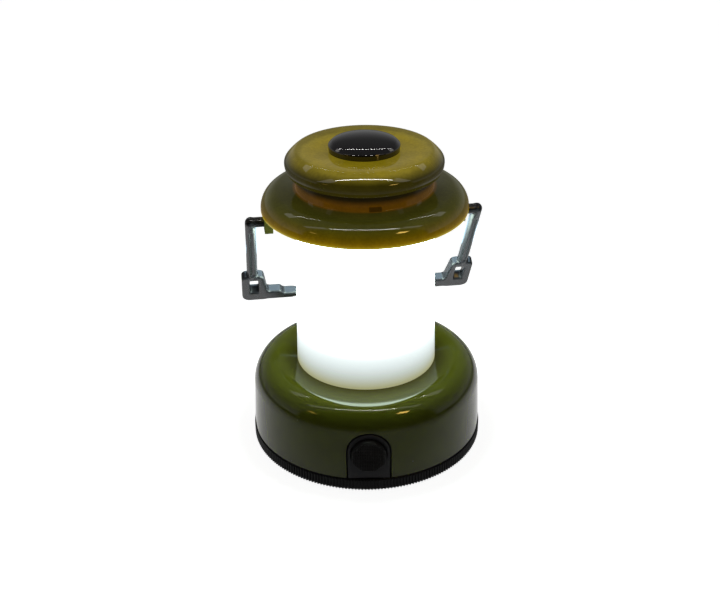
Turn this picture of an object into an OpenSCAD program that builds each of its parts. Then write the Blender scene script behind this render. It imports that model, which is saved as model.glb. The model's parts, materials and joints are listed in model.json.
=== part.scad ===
// Camping lantern with a round base, a frosted globe, a domed roof and a swinging bail.
// Millimetres, +Z up. The origin is the centre of the face that the lantern stands on.
// The bail's pivots lie on X, and the switch is near -Y.

/* [Base] */
// Diameter over the ribbed ring of the battery cover
base_d = 90; // [89:0.5:104]
// Height of the ribbed ring
ring_h = 4.4; // [3.5:0.1:4.5]
// Gap between the ribbed ring and the green wall
ring_gap = 0.3; // [0.2:0.05:0.8]
// Count of upright ribs round the ring
rib_count = 230; // [60:2:300]
// Depth of the grooves between the ribs
rib_depth = 0.5; // [0.2:0.05:0.8]
// How far the wall's foot is set in from the ring
wall_inset = 0.3; // [0:0.1:1]
// How much the wall's radius shrinks on its way up
wall_draft = 0.7; // [0:0.1:2]
// Height at which the wall turns into the rim
wall_top = 23; // [22.5:0.1:24]
// Width of the rim's rounding
rim_w = 9.5; // [8:0.1:10]
// Height of the rim's rounding
rim_h = 10; // [9.5:0.1:10.5]
// Angle that the rim's rounding turns through before it falls straight to the globe's seat
rim_turn = 95; // [90:1:100]
// Thickness of the base's top
top_t = 3.9; // [3.7:0.1:4.1]
// Height of the globe's seat above the table
seat_z = 32.3; // [32:0.1:40]
// Wall thickness of the green mouldings
shell_t = 2.2; // [1.8:0.1:2.6]
// How far the base is turned against the bail
base_turn = -6.9; // [-30:0.1:30]

/* [Battery cover] */
// Thickness of the cover's floor
floor_t = 2; // [1.6:0.1:2.4]
// Depth of the ring-shaped recess under the cover
recess_depth = 0.6; // [0.3:0.1:1]
// Width of each bayonet tab as an angle
tab_angle = 22; // [14:1:26]
// Turn that frees the cover
cover_turn = 28; // [26:1:34]
// Height of the bayonet ledges' lower face above the ribbed ring
ledge_rise = 2.3; // [1.5:0.1:4]
// Thickness of ledges and lugs
ledge_t = 2; // [1.5:0.1:2.2]

/* [Switch] */
// Diameter of the round button
button_d = 12.9; // [10:0.1:13]
// Height of the button's centre above the table
button_z = 15.2; // [15.1:0.1:16]
// How far the button stands out of its bezel
button_proud = 2.5; // [1.8:0.1:2.5]
// Travel of the button
button_travel = 1.6; // [0.8:0.1:1.7]
// Width of the arch-shaped bezel
bezel_w = 15.5; // [15.5:0.1:16.5]
// Gap between the bezel and the base's opening
bezel_gap = 0.6; // [0.2:0.1:0.8]
// Side of the square switch body
switch_w = 8.5; // [7:0.1:9.5]

/* [Cells] */
// Diameter of one AA cell
cell_d = 14.5; // [14:0.1:14.5]
// Length of one AA cell with its button contact
cell_l = 50.5; // [49:0.1:50.5]
// Room for a pressed contact spring
spring_l = 4.5; // [3.5:0.1:4.6]
// Wall thickness of the battery tray
tray_t = 1.6; // [1.2:0.1:1.7]

/* [Globe] */
// Radius of the globe at its foot
globe_foot_r = 26.9; // [26.5:0.1:28]
// Radius of the globe at its upper rim
globe_top_r = 25.4; // [25:0.1:25.6]
// Wall thickness of the globe
globe_t = 2; // [1.4:0.1:2.4]
// Height of the globe's upper rim above the table
globe_top_z = 101.4; // [96:0.1:110]
// Radius of the LED board
led_board_r = 16; // [15:0.1:18]
// Count of LEDs
led_count = 12; // [6:1:16]
// Height of the LED column
column_h = 9.5; // [6:0.1:20]

/* [Roof and cap] */
// Radius of the roof's lower edge
roof_r = 38.1; // [37.8:0.1:39]
// Height of the roof from its lower edge to the neck's foot
roof_h = 8.5; // [8:0.1:9]
// Width of the rounding of the roof's edge
edge_w = 6.6; // [5.5:0.1:7.5]
// Height of the rounding of the roof's edge
edge_h = 6.9; // [6:0.1:7.2]
// Height of the neck's foot above the globe's rim
neck_rise = 2.1; // [2.1:0.1:3]
// Radius of the neck under the cap
neck_r = 25.2; // [24.6:0.1:25.4]
// Height from the neck's foot to the cap's lip
neck_gap = 6.2; // [5:0.1:8]
// Widest radius of the cap
cap_r = 28.9; // [28:0.1:34]
// Height of the cap's belly above its lip
cap_belly = 3.2; // [3:0.1:4]
// Height from the cap's belly to its top
cap_h = 4.8; // [4.6:0.1:6]
// Radius of the cap's rounded shoulder
shoulder_r = 2.4; // [2:0.1:2.8]
// Depth of the dish in the cap's top
dish_depth = 0.5; // [0.2:0.1:0.8]
// Radius of the finial
finial_r = 13; // [10:0.1:14]
// Height of the finial's lip
finial_lip = 2.5; // [1.8:0.1:3]
// Height of the finial's dome above its lip
finial_h = 3; // [2.5:0.1:6]

/* [Bail] */
// Height of the bail's pivots below the roof's lower edge
pivot_drop = 3.7; // [3.6:0.1:5]
// Half the spacing of the bail's rods
rod_x = 42.1; // [41:0.1:46]
// Diameter of the rods
rod_d = 4.2; // [3.6:0.1:4.6]
// Diameter of the pivot pins
pin_d = 3.8; // [3:0.1:4]
// Thickness of the pivot lugs
lug_t = 3.1; // [2.5:0.1:3.4]
// Length of the rods from the pivots to the corner webs
rod_l = 37.1; // [32:0.1:46]
// Length of each corner web along the rods
web_l = 18.2; // [17:0.1:24]
// Width of each corner web
web_w = 8.7; // [8:0.1:9]
// Thickness of the corner webs
web_t = 3.9; // [3.2:0.1:4]
// Height of the grip bar
bar_h = 3.5; // [3:0.1:5]
// Thickness of the grip bar
bar_t = 3.7; // [3:0.1:3.9]

/* [Hidden] */
$fn = 96;

// Clearances: pieces of one body, moving faces, and a pin in its hole
fit = 0.15;
play = 0.3;
pin_gap = 0.08;
// How much wider a screw's hole in a boss is than the screw
thread_gap = 0.02;
// Small distance by which a cut passes through a face, and by which a round end stops short of a full one
cut = 0.5;
hair = 0.01;

// Base outline
ring_r = base_d / 2;
wall_z = ring_h + ring_gap;
wall_foot_r = ring_r - wall_inset;
wall_top_r = wall_foot_r - wall_draft;
rim_c = wall_top_r - rim_w;
ceiling_z = seat_z - top_t;
function wall_r(z) = wall_foot_r - wall_draft * (z - wall_z) / (wall_top - wall_z);
function inner_r(z) = wall_r(z) - shell_t;

// Bayonet between the cover and the base
ledge_depth = 1.6;
ledge_z = ring_h + ledge_rise;
ledge_r = inner_r(ledge_z + ledge_t) - ledge_depth;
lug_gap = 0.4;
lug_bevel = 0.6;
lug_z = ledge_z + ledge_t + play;
lug_r = inner_r(lug_z + ledge_t) - lug_gap;
tab_t = 1.6;
tab_ro = ledge_r - lug_gap;
tab_ri = tab_ro - tab_t;
tab_middles = [-44, 76, 196];
free_angle = 4;
ledge_angle = 2 * (cover_turn - free_angle) - tab_angle;
recess_edge = 4.7;
recess_w = 20;
recess_ro = tab_ri - recess_edge;
recess_ri = recess_ro - recess_w;

// Battery tray and what it holds: a base too small for AA cells takes smaller ones
cell_gap = 0.7;
cell_rise = 3.7;
tray_clear = 0.5;
tray_r = tab_ri - tray_clear;
cell_need = norm([(cell_l + spring_l) / 2, 3 * (cell_d + cell_gap) / 2]);
cell_share = min(1, tray_r / cell_need);
cell_r = cell_share * cell_d / 2;
cell_len = cell_share * cell_l;
cell_pitch = 2 * cell_r + cell_gap;
cell_z = floor_t + cell_rise + cell_r;
bay_r = cell_r + play;
plate_t = 0.5;
bay_l = cell_len + spring_l + 2 * plate_t;
bay_w = 3 * cell_pitch;
tray_z = ledge_z;
tray_top = cell_z + bay_r + tray_t;
pad_h = cell_rise - play;
pad_w = 3;
pad_l = 8;
boss_r = 2.9;
boss_x = bay_l / 2 + tray_t + boss_r + fit;
boss_y = bay_w / 2 + tray_t + boss_r + fit;
boss_at = [[boss_x, 0], [-boss_x, 0], [0, boss_y]];
ear_t = 2;
ear_reach = boss_r + fit + tray_t / 2;
contact_w = 9;
contact_h = 10;
contact_round = 1.5;
tail_w = 3;
tail_out = 2.4;
tail_top = tray_top + tail_out;
nub_r = 2.75;
nub_l = 1;
spring_wire = 0.6;
spring_ends = [4.4, 2.6];
spring_turns = 4;

// Screws share one size
screw_r = 1.1;
screw_head_r = 2.1;
screw_head_h = 1.3;
slot_l = 2.4;
slot_w = 0.6;
screw_hole_r = screw_r + fit;
thread_r = screw_r + thread_gap;
small_boss_r = 2.6;
tray_screw_l = 7;
board_screw_l = 6;
led_screw_l = 5;
column_screw_l = 7;
cap_screw_l = 7;

// Switch stack, measured outwards from the lantern's axis
face_drop = 0.3;
face_r = wall_r(button_z) - face_drop;
flange_w = 2.6;
flange_t = 1.6;
flange_hw = bezel_w / 2 + flange_w;
flange_front = sqrt(pow(inner_r(button_z), 2) - pow(flange_hw, 2)) - fit;
flange_back = flange_front - flange_t;
skirt_w = 0.7;
skirt_t = 1.2;
skirt_r = button_d / 2 + skirt_w;
skirt_front = flange_back - play;
skirt_back = skirt_front - skirt_t;
press_gap = 0.5;
switch_front = skirt_back - button_travel - press_gap;
switch_l = 7.3;
tray_gap = 0.8;
board_t = 1.2;
board_edge = 1;
tray_side = bay_w / 2 + tray_t + tray_gap + screw_head_h;
board_back = max(tray_side, switch_front - switch_l - board_t);
switch_back = board_back + board_t;
switch_floor = 1.2;
switch_round = 0.8;
plunger_r = 2.2;
plunger_in = switch_front - switch_back - switch_floor - button_travel - play;
post_r = 1.45;
post_y = skirt_r + play + post_r;
rail_t = 1.6;
rail_foot = wall_z + 1;
bezel_foot = button_z - wall_z;
foot_gap = 0.4;
crown_h = 0.5;
arch_rise = 0.85;

// Globe and what stands in its foot
function globe_r(z) =
    globe_foot_r - (globe_foot_r - globe_top_r) * (z - seat_z) / (globe_top_z - seat_z);
spigot_r = globe_foot_r - globe_t - 2 * fit;
spigot_t = 1.8;
spigot_h = 5;
wire_hole_r = 4;
column_foot_r = spigot_r - spigot_t - fit;
column_top_r = led_board_r + board_edge;
column_t = 1.6;
column_top = seat_z + column_h;
column_screw_at = 12;
led_board_t = 1.2;
led_w = 2.8;
led_h = 0.9;
led_round = 0.4;
led_ring_r = led_board_r - led_w;
led_screw_at = 7.5;
led_boss_r = 2.2;
lead_x = 1.2;

// Roof, cap and finial
neck_z = globe_top_z + neck_rise;
roof_z = neck_z - roof_h;
edge_lip = 1;
edge_c = roof_r - edge_w;
edge_z = roof_z + edge_lip;
neck_way = [(neck_r - edge_c) / edge_w, (neck_z - edge_z) / edge_h];
edge_turn = atan2(neck_way[1], neck_way[0]) - acos(1 / norm(neck_way));
roof_plate_t = 2;
roof_plate_z = globe_top_z + roof_plate_t;
socket_gap = 0.5;
socket_r = globe_top_r + socket_gap;
socket_t = 1.5;
socket_l = 6;
neck_t = 2;
roof_hole_r = 20;
lip_z = neck_z + neck_gap;
belly_z = lip_z + cap_belly;
cap_top = belly_z + cap_h;
cap_tuck = 0.9;
cap_lip_r = cap_r - cap_tuck;
cap_lip_t = 1.4;
cap_t = 2;
lip_turn = acos(1 - cap_tuck / shoulder_r);
cap_slope = 46;
brow_r = 2;
shoulder_c = cap_r - shoulder_r;
slope_h = cap_top - brow_r - belly_z - (shoulder_r - brow_r) * sin(cap_slope);
brow_c = shoulder_c + (shoulder_r - brow_r) * cos(cap_slope) - slope_h * tan(cap_slope);
cap_spigot_t = 1.4;
cap_spigot_l = 2;
neck_lap = 2.9;
neck_top = lip_z + neck_lap;
dish_z = cap_top - dish_depth;
finial_sink = 0.6;
finial_step = 0.3;
finial_seat = dish_z - finial_sink;
dome_z = finial_seat + finial_lip;
stem_r = 3.5;
stem_out = 3;
clip_t = 0.8;
clip_w = 2.5;
clip_gap = 0.05;
cap_screw_at = 18.6;
cap_ear_r = 3;
cap_ear_t = 2;
cap_ear_drop = 4;
cap_ear_z = neck_top - cap_ear_drop;
stop_w = 4.4;
stop_h = 1.7;
stop_out = 0.8;
stop_turn = 0.4;

// Bail, drawn hanging straight down from its pivots
pivot_z = roof_z - pivot_drop;
lug_inset = 0.9;
lug_out = roof_r - lug_inset;
lug_in = lug_out - lug_t;
lug_w = 7;
lug_drop = 3.8;
lug_round = 1;
pin_head_t = 0.9;
pin_head_lip = 0.45;
pin_head_r = pin_d / 2 + pin_head_lip;
web_reach = 4.3;
web_out = rod_x + web_reach;
web_in = web_out - web_w;
web_foot = rod_l + web_l;
web_round = 2;
web_flare = 1.6;
foot_round = 3;
foot_drop = 0.3;
bar_out = web_foot - foot_drop;
bar_in = bar_out - bar_h;
grip_rise = 2.2;
grip_s = bar_in - grip_rise;
grip_l = 8.3;
grip_slope = 1.5;
grip_x = web_in - grip_l;
window_w = 3.4;
window_x = rod_x - 0.6;
window_h = 9.4;
window_round = 0.8;
window_drop = 3;
window_s = rod_l + window_drop + window_h / 2;
groove_w = 1.6;
groove_depth = 0.4;
groove_top = 4.5;
groove_foot = 1;
groove_l = rod_l - groove_top - groove_foot;
dimple_w = 4.2;
dimple_h = 1.1;
dimple_depth = 0.3;
dimple_rise = 1.7;
function lean(r) = asin((r + play) / norm([bar_in, bar_t / 2])) + atan(bar_t / 2 / bar_in);
hang = lean(globe_r(pivot_z - bar_in * cos(lean(globe_foot_r))));
echo(hang_angle = hang, swing_range = 360 - 2 * hang);
echo(pivot_height = pivot_z, total_height = dome_z + finial_h);

// Wires: points chosen by hand as shares of the tray's sizes, in the base's own frame
wire_d = 1.4;
tail_x = bay_l / 2 - plate_t;
over_tray = tray_top + 1.4 * wire_d;
dip = 0.43 * wire_d;
bend = 1.8 * wire_d;
pad_x = 2.1 * wire_d;
board_y = -board_back;
lead_z = over_tray - bend;
led_top = column_top + led_board_t;
column_under = column_top - column_t - 0.7 * wire_d;
supply_route = [
    [tail_x, cell_pitch, over_tray - dip], [tail_x - bend, cell_pitch, over_tray - dip],
    [0.73 * tail_x, 0.79 * cell_pitch, over_tray], [0.51 * tail_x, 0.13 * cell_pitch, over_tray],
    [0.33 * tail_x, -0.79 * cell_pitch, over_tray], [0.18 * tail_x, -1.32 * cell_pitch, over_tray],
    [pad_x, board_y + bend, over_tray - dip], [pad_x, board_y + bend / 3, lead_z + dip],
    [pad_x, board_y, lead_z]
];
switched_route = [
    [-pad_x, board_y, lead_z], [-pad_x, board_y + bend / 3, lead_z + dip],
    [-pad_x, board_y + bend, over_tray - dip], [-0.15 * tail_x, -1.25 * cell_pitch, over_tray],
    [-0.11 * tail_x, -0.53 * cell_pitch, over_tray + dip],
    [-1.5 * lead_x, -0.13 * cell_pitch, over_tray + bend],
    [-1.2 * lead_x, -0.4 * lead_x, ceiling_z + dip], [-1.2 * lead_x, -0.2 * lead_x, seat_z + bend],
    [-lead_x, 0, column_under], [-lead_x, 0, led_top]
];
return_route = [
    [-tail_x, -cell_pitch, over_tray - dip], [bend - tail_x, -cell_pitch, over_tray - dip],
    [-0.73 * tail_x, -0.79 * cell_pitch, over_tray], [-0.36 * tail_x, -0.2 * cell_pitch, over_tray + dip],
    [-0.07 * tail_x, 0.09 * cell_pitch, over_tray + 2 * dip],
    [0.75 * lead_x, 1.5 * lead_x, over_tray + 1.3 * bend],
    [1.2 * lead_x, 0.8 * lead_x, ceiling_z + bend], [1.2 * lead_x, 0.5 * lead_x, seat_z + bend],
    [lead_x, 0.2 * lead_x, column_under], [lead_x, 0, led_top]
];

// Points of an arc of an ellipse round (c, z), from angle a to angle b
function arc(c, z, rx, rz, a, b, n = 16) =
    [for (i = [0:n]) let (t = a + (b - a) * i / n) [c + rx * cos(t), z + rz * sin(t)]];

// Points of the shallow dish from the cap's flat top to the finial
function dish(n = 8) =
    [for (i = [1:n]) let (u = i / n) [
        brow_c + (finial_r + fit - brow_c) * u,
        cap_top - dish_depth * (1 - cos(180 * u)) / 2]];

// A tube swept along a path without twist, with flat ends square to the given directions
function unit(v) = v / norm(v);
function way(p, i, first, last) =
    i == 0 ? first : i == len(p) - 1 ? last : unit(unit(p[i + 1] - p[i]) + unit(p[i] - p[i - 1]));
function carried(ways, u, i = 0) =
    i == len(ways) ? [] : let (w = unit(u - (u * ways[i]) * ways[i])) concat([w], carried(ways, w, i + 1));
module tube(path, r, sides, first, last) {
    n = len(path);
    ways = [for (i = [0:n - 1]) way(path, i, first, last)];
    across = carried(ways, cross(first, [0.37, 0.61, 0.53]));
    rings = [for (i = [0:n - 1], k = [0:sides - 1])
        path[i] + r * (cos(360 * k / sides) * across[i] + sin(360 * k / sides) * cross(ways[i], across[i]))];
    last_ring = (n - 1) * sides;
    side_faces = [for (i = [0:n - 2], k = [0:sides - 1], half = [0, 1])
        let (a = i * sides + k, b = i * sides + (k + 1) % sides)
        half == 0 ? [a, a + sides, b] : [b, a + sides, b + sides]];
    end_faces = [for (k = [1:sides - 2], half = [0, 1])
        half == 0 ? [0, k, k + 1] : [last_ring, last_ring + k + 1, last_ring + k]];
    polyhedron(points = rings, faces = concat(side_faces, end_faces));
}

// A conical contact spring standing on z = 0, its wide end down
function spring_path(h) =
    [for (i = [0:8 * spring_turns]) let (u = i / (8 * spring_turns), a = 360 * spring_turns * u)
        let (r = spring_ends[0] + (spring_ends[1] - spring_ends[0]) * u)
        [r * cos(a), r * sin(a), spring_wire / 2 + (h - spring_wire) * u]];
module contact_spring(h) {
    p = spring_path(h);
    first = unit(p[1] - p[0]);
    last = unit(p[len(p) - 1] - p[len(p) - 2]);
    tube(p, spring_wire / 2, 6, first, last);
}
function spring_gap(p) =
    min([for (i = [0:len(p) - 1], j = [i + 5:1:len(p) - 1]) norm(p[i] - p[j])]) - spring_wire;
echo(spring_gap = spring_gap(spring_path(spring_l)));

// Shapes that repeat
module in_base() { rotate([0, 0, base_turn]) children(); }
module ring_sector(middle, angle) {
    rotate([0, 0, middle - angle / 2]) rotate_extrude(angle = angle) children();
}
module at_switch() { translate([0, 0, button_z]) rotate([90, 0, 0]) children(); }
module layer(from, to) { translate([0, 0, from]) linear_extrude(to - from) children(); }
module arch(half, foot) {
    translate([0, arch_rise]) circle(half);
    translate([-half, -foot]) square([2 * half, foot + arch_rise]);
}
module rounded(w, h, r) {
    square([w - 2 * r, h], center = true);
    square([w, h - 2 * r], center = true);
    for (x = [-1, 1], y = [-1, 1]) translate([x * (w / 2 - r), y * (h / 2 - r)]) circle(r);
}
// A screw with its head's bearing face on z = 0 and its shank up
module screw(l) {
    cylinder(r = screw_r, h = l);
    difference() {
        translate([0, 0, -screw_head_h]) cylinder(r = screw_head_r, h = screw_head_h);
        for (a = [0, 90]) rotate([0, 0, a]) translate([0, 0, -screw_head_h])
            cube([slot_l, slot_w, screw_head_h], center = true);
    }
}
module spread(count, r, turn = 0) {
    for (i = [0:count - 1]) rotate([0, 0, turn + 360 * i / count]) translate([r, 0, 0]) children();
}
module at_bosses(z) {
    for (p = boss_at) translate([p[0], p[1], z]) children();
}

// Base
module base_body() {
    rotate_extrude() polygon(concat(
        [[wall_foot_r, wall_z]],
        arc(rim_c, wall_top, rim_w, rim_h, 0, rim_turn, 24),
        [[globe_foot_r + fit, seat_z], [spigot_r, seat_z], [spigot_r, seat_z + spigot_h],
         [spigot_r - spigot_t, seat_z + spigot_h], [spigot_r - spigot_t, seat_z],
         [wire_hole_r, seat_z], [wire_hole_r, ceiling_z]],
        arc(rim_c, wall_top, rim_w - shell_t, rim_h - shell_t,
            asin((ceiling_z - wall_top) / (rim_h - shell_t)), 0, 8),
        [[wall_foot_r - shell_t, wall_z]]));
}
module bezel_rails() {
    lip_front = flange_back - fit;
    side_x = flange_hw + fit;
    outer = inner_r(button_z) + shell_t / 2;
    for (s = [0, 1]) mirror([s, 0, 0]) {
        layer(rail_foot, wall_top) {
            translate([side_x, -outer]) square([rail_t, outer - lip_front + rail_t]);
            translate([flange_hw - rail_t, -lip_front]) square([2 * rail_t, rail_t]);
        }
    }
}
module base_shell() {
    color("#4a4c22") in_base() difference() {
        union() {
            base_body();
            for (m = tab_middles) ring_sector(m, ledge_angle) polygon([
                [ledge_r, ledge_z], [inner_r(ledge_z) + cut, ledge_z],
                [inner_r(ledge_z + ledge_t) + cut, ledge_z + ledge_t], [ledge_r, ledge_z + ledge_t]]);
            at_bosses(tray_top) cylinder(r = boss_r, h = ceiling_z - tray_top + cut);
            intersection() {
                bezel_rails();
                cylinder(r = wall_top_r - shell_t / 2, h = ceiling_z + cut);
            }
        }
        at_switch() layer(flange_front - cut, ring_r) arch(bezel_w / 2 + bezel_gap, bezel_foot + cut);
        at_bosses(tray_top - cut) cylinder(r = thread_r, h = tray_screw_l);
        spread(3, column_screw_at, 30) translate([0, 0, ceiling_z - cut]) {
            cylinder(r = screw_hole_r, h = seat_z);
            cylinder(r = screw_head_r + fit, h = screw_head_h + cut + fit);
        }
    }
}

// Battery cover
module battery_cover() {
    color("#161618") in_base() {
        difference() {
            linear_extrude(ring_h) polygon([for (i = [0:2 * rib_count - 1])
                (ring_r - (i % 2) * rib_depth) * [cos(180 * i / rib_count), sin(180 * i / rib_count)]]);
            translate([0, 0, floor_t]) cylinder(r = tab_ri - lug_gap, h = ring_h);
            translate([0, 0, -cut]) difference() {
                cylinder(r = recess_ro, h = recess_depth + cut);
                translate([0, 0, -cut]) cylinder(r = recess_ri, h = recess_depth + 3 * cut);
            }
        }
        for (m = tab_middles) ring_sector(m, tab_angle) polygon([
            [tab_ri, floor_t - cut], [tab_ro, floor_t - cut], [tab_ro, lug_z], [lug_r, lug_z],
            [lug_r, lug_z + ledge_t - lug_bevel], [lug_r - lug_bevel, lug_z + ledge_t],
            [tab_ri, lug_z + ledge_t]]);
        for (x = [-1, 1], y = [-1:1]) translate([x * cell_len / 5, y * cell_pitch, floor_t - cut])
            layer(0, pad_h + cut) rounded(pad_w, pad_l, pad_w / 3);
    }
}

// Battery tray, open below
module battery_tray() {
    color("#1d1d20") in_base() difference() {
        union() {
            intersection() {
                layer(tray_z, tray_top) square([bay_l + 2 * tray_t, bay_w + 2 * tray_t], center = true);
                cylinder(r = tray_r, h = tray_top + cut);
            }
            for (p = boss_at) rotate([0, 0, atan2(p[1], p[0])]) layer(tray_top - ear_t, tray_top) {
                translate([norm(p), 0]) circle(boss_r);
                translate([norm(p) - ear_reach, -boss_r]) square([ear_reach, 2 * boss_r]);
            }
        }
        for (y = [-1:1]) translate([0, y * cell_pitch, 0]) {
            layer(tray_z - cut, cell_z) square([bay_l, 2 * bay_r], center = true);
            translate([-bay_l / 2, 0, cell_z]) rotate([0, 90, 0]) cylinder(r = bay_r, h = bay_l);
        }
        for (side = [-1, 1]) {
            translate([side * (bay_l / 2 - plate_t / 2), side * cell_pitch, tray_top])
                cube([plate_t + 2 * fit, tail_w + 2 * fit, 4 * tray_t], center = true);
            translate([side * (bay_l / 2 - plate_t), -side * cell_pitch / 2, cell_z])
                cube([2 * plate_t, cell_pitch, contact_h + 2 * fit], center = true);
        }
        at_bosses(0) cylinder(r = screw_hole_r, h = tray_top + cut);
    }
}
// A cell lying along X with its button contact at +X, turned round where way is -1
module cell(row, way) {
    color(way > 0 ? "#c8a24a" : "#b99036") in_base()
        translate([0, row * cell_pitch, cell_z]) rotate([0, way > 0 ? 90 : -90, 0])
            translate([0, 0, bay_l / 2 - plate_t - cell_len]) {
                cylinder(r = cell_r, h = cell_len - nub_l);
                cylinder(r = nub_r, h = cell_len);
            }
}
module battery_1() { cell(-1, 1); }
module battery_2() { cell(0, -1); }
module battery_3() { cell(1, 1); }
module contact_springs() {
    color("silver") in_base() for (row = [-1:1]) {
        way = row == 0 ? -1 : 1;
        translate([-way * (bay_l / 2 - plate_t), row * cell_pitch, cell_z])
            rotate([0, way * 90, 0]) contact_spring(spring_l);
    }
}
// Two bridges and two end plates with solder tails put the cells in series
module contact_plate(side, from_row, to_row) {
    span = (to_row - from_row) * cell_pitch;
    middle = from_row * cell_pitch + span / 2;
    translate([side * (bay_l / 2 - plate_t / 2), middle, cell_z]) rotate([90, 0, 90])
        linear_extrude(plate_t, center = true) {
            rounded(span + contact_w, contact_h, contact_round);
            if (span == 0) translate([-tail_w / 2, 0]) square([tail_w, tail_top - cell_z]);
        }
}
module contact_plates() {
    color("#c9c9c4") in_base() for (side = [-1, 1]) {
        contact_plate(side, side, side);
        contact_plate(side, side > 0 ? -1 : 0, side > 0 ? 0 : 1);
    }
}
module tray_screws() {
    color("silver") in_base() at_bosses(tray_top - ear_t) screw(tray_screw_l);
}

// Switch
module switch_bezel() {
    color("#232326") in_base() at_switch() difference() {
        union() {
            layer(flange_front - cut, face_r) arch(bezel_w / 2, bezel_foot);
            layer(flange_back, flange_front) arch(flange_hw, bezel_foot - foot_gap);
            for (s = [-1, 1]) translate([0, s * post_y, switch_back])
                cylinder(r = post_r, h = flange_back - switch_back + cut);
        }
        translate([0, 0, flange_back - cut]) cylinder(r = button_d / 2 + play, h = ring_r);
        for (s = [-1, 1]) translate([0, s * post_y, switch_back - cut])
            cylinder(r = thread_r, h = board_screw_l);
    }
}
module switch_button() {
    crown_r = (pow(button_d / 2, 2) + pow(crown_h, 2)) / (2 * crown_h);
    color("#131315") in_base() at_switch() {
        intersection() {
            layer(skirt_back, face_r + button_proud) circle(d = button_d);
            translate([0, 0, face_r + button_proud - crown_r]) sphere(crown_r, $fn = 200);
        }
        layer(skirt_back, skirt_front) circle(skirt_r);
    }
}
module switch_plunger() {
    color("#e8e4da") in_base() at_switch() layer(switch_front - plunger_in, skirt_back) circle(plunger_r);
}
module switch_body() {
    color("#2f2f33") in_base() at_switch() difference() {
        layer(switch_back, switch_front) rounded(switch_w, switch_w, switch_round);
        layer(switch_back + switch_floor, switch_front + cut) circle(plunger_r + pin_gap);
    }
}
module switch_board() {
    color("#1f5a35") in_base() at_switch() difference() {
        layer(board_back, switch_back)
            rounded(switch_w + 2 * board_edge, 2 * (post_y + post_r), board_edge);
        for (s = [-1, 1]) translate([0, s * post_y, 0]) cylinder(r = screw_hole_r, h = ring_r);
    }
}
module switch_screws() {
    color("silver") in_base() at_switch() for (s = [-1, 1])
        translate([0, s * post_y, board_back]) screw(board_screw_l);
}

// Light
module led_column() {
    color("white") in_base() difference() {
        union() {
            rotate_extrude() polygon([
                [wire_hole_r, column_top - column_t], [column_top_r - column_t, column_top - column_t],
                [column_foot_r - 2 * column_t, seat_z + column_t], [column_foot_r - 2 * column_t, seat_z],
                [column_foot_r, seat_z], [column_foot_r, seat_z + column_t],
                [column_top_r, column_top], [wire_hole_r, column_top]]);
            spread(3, column_screw_at, 30) layer(seat_z, column_top - cut) circle(small_boss_r);
            spread(2, led_screw_at) layer(column_top - led_screw_l, column_top - cut) circle(led_boss_r);
        }
        spread(3, column_screw_at, 30) layer(seat_z - cut, seat_z + column_screw_l) circle(thread_r);
        spread(2, led_screw_at) layer(seat_z, column_top + cut) circle(thread_r);
    }
}
module led_board() {
    color("#e9ede6") in_base() difference() {
        layer(column_top, column_top + led_board_t) circle(led_board_r);
        layer(column_top - cut, led_top + cut) {
            for (x = [-lead_x, lead_x]) translate([x, 0]) circle(wire_d / 2 + fit);
            spread(2, led_screw_at) circle(screw_hole_r);
        }
    }
}
module leds() {
    color("#ffe9a8") in_base() spread(led_count, led_ring_r, 15)
        layer(led_top, led_top + led_h) rounded(led_w, led_w, led_round);
}
module led_screws() {
    color("silver") in_base() spread(2, led_screw_at)
        translate([0, 0, led_top]) rotate([180, 0, 0]) screw(led_screw_l);
}
module column_screws() {
    color("silver") in_base() spread(3, column_screw_at, 30)
        translate([0, 0, ceiling_z + screw_head_h + fit]) screw(column_screw_l);
}
module globe() {
    color("#fbfbf6") rotate_extrude() polygon([
        [globe_foot_r, seat_z], [globe_top_r, globe_top_z],
        [globe_top_r - globe_t, globe_top_z], [globe_foot_r - globe_t, seat_z]]);
}

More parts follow.
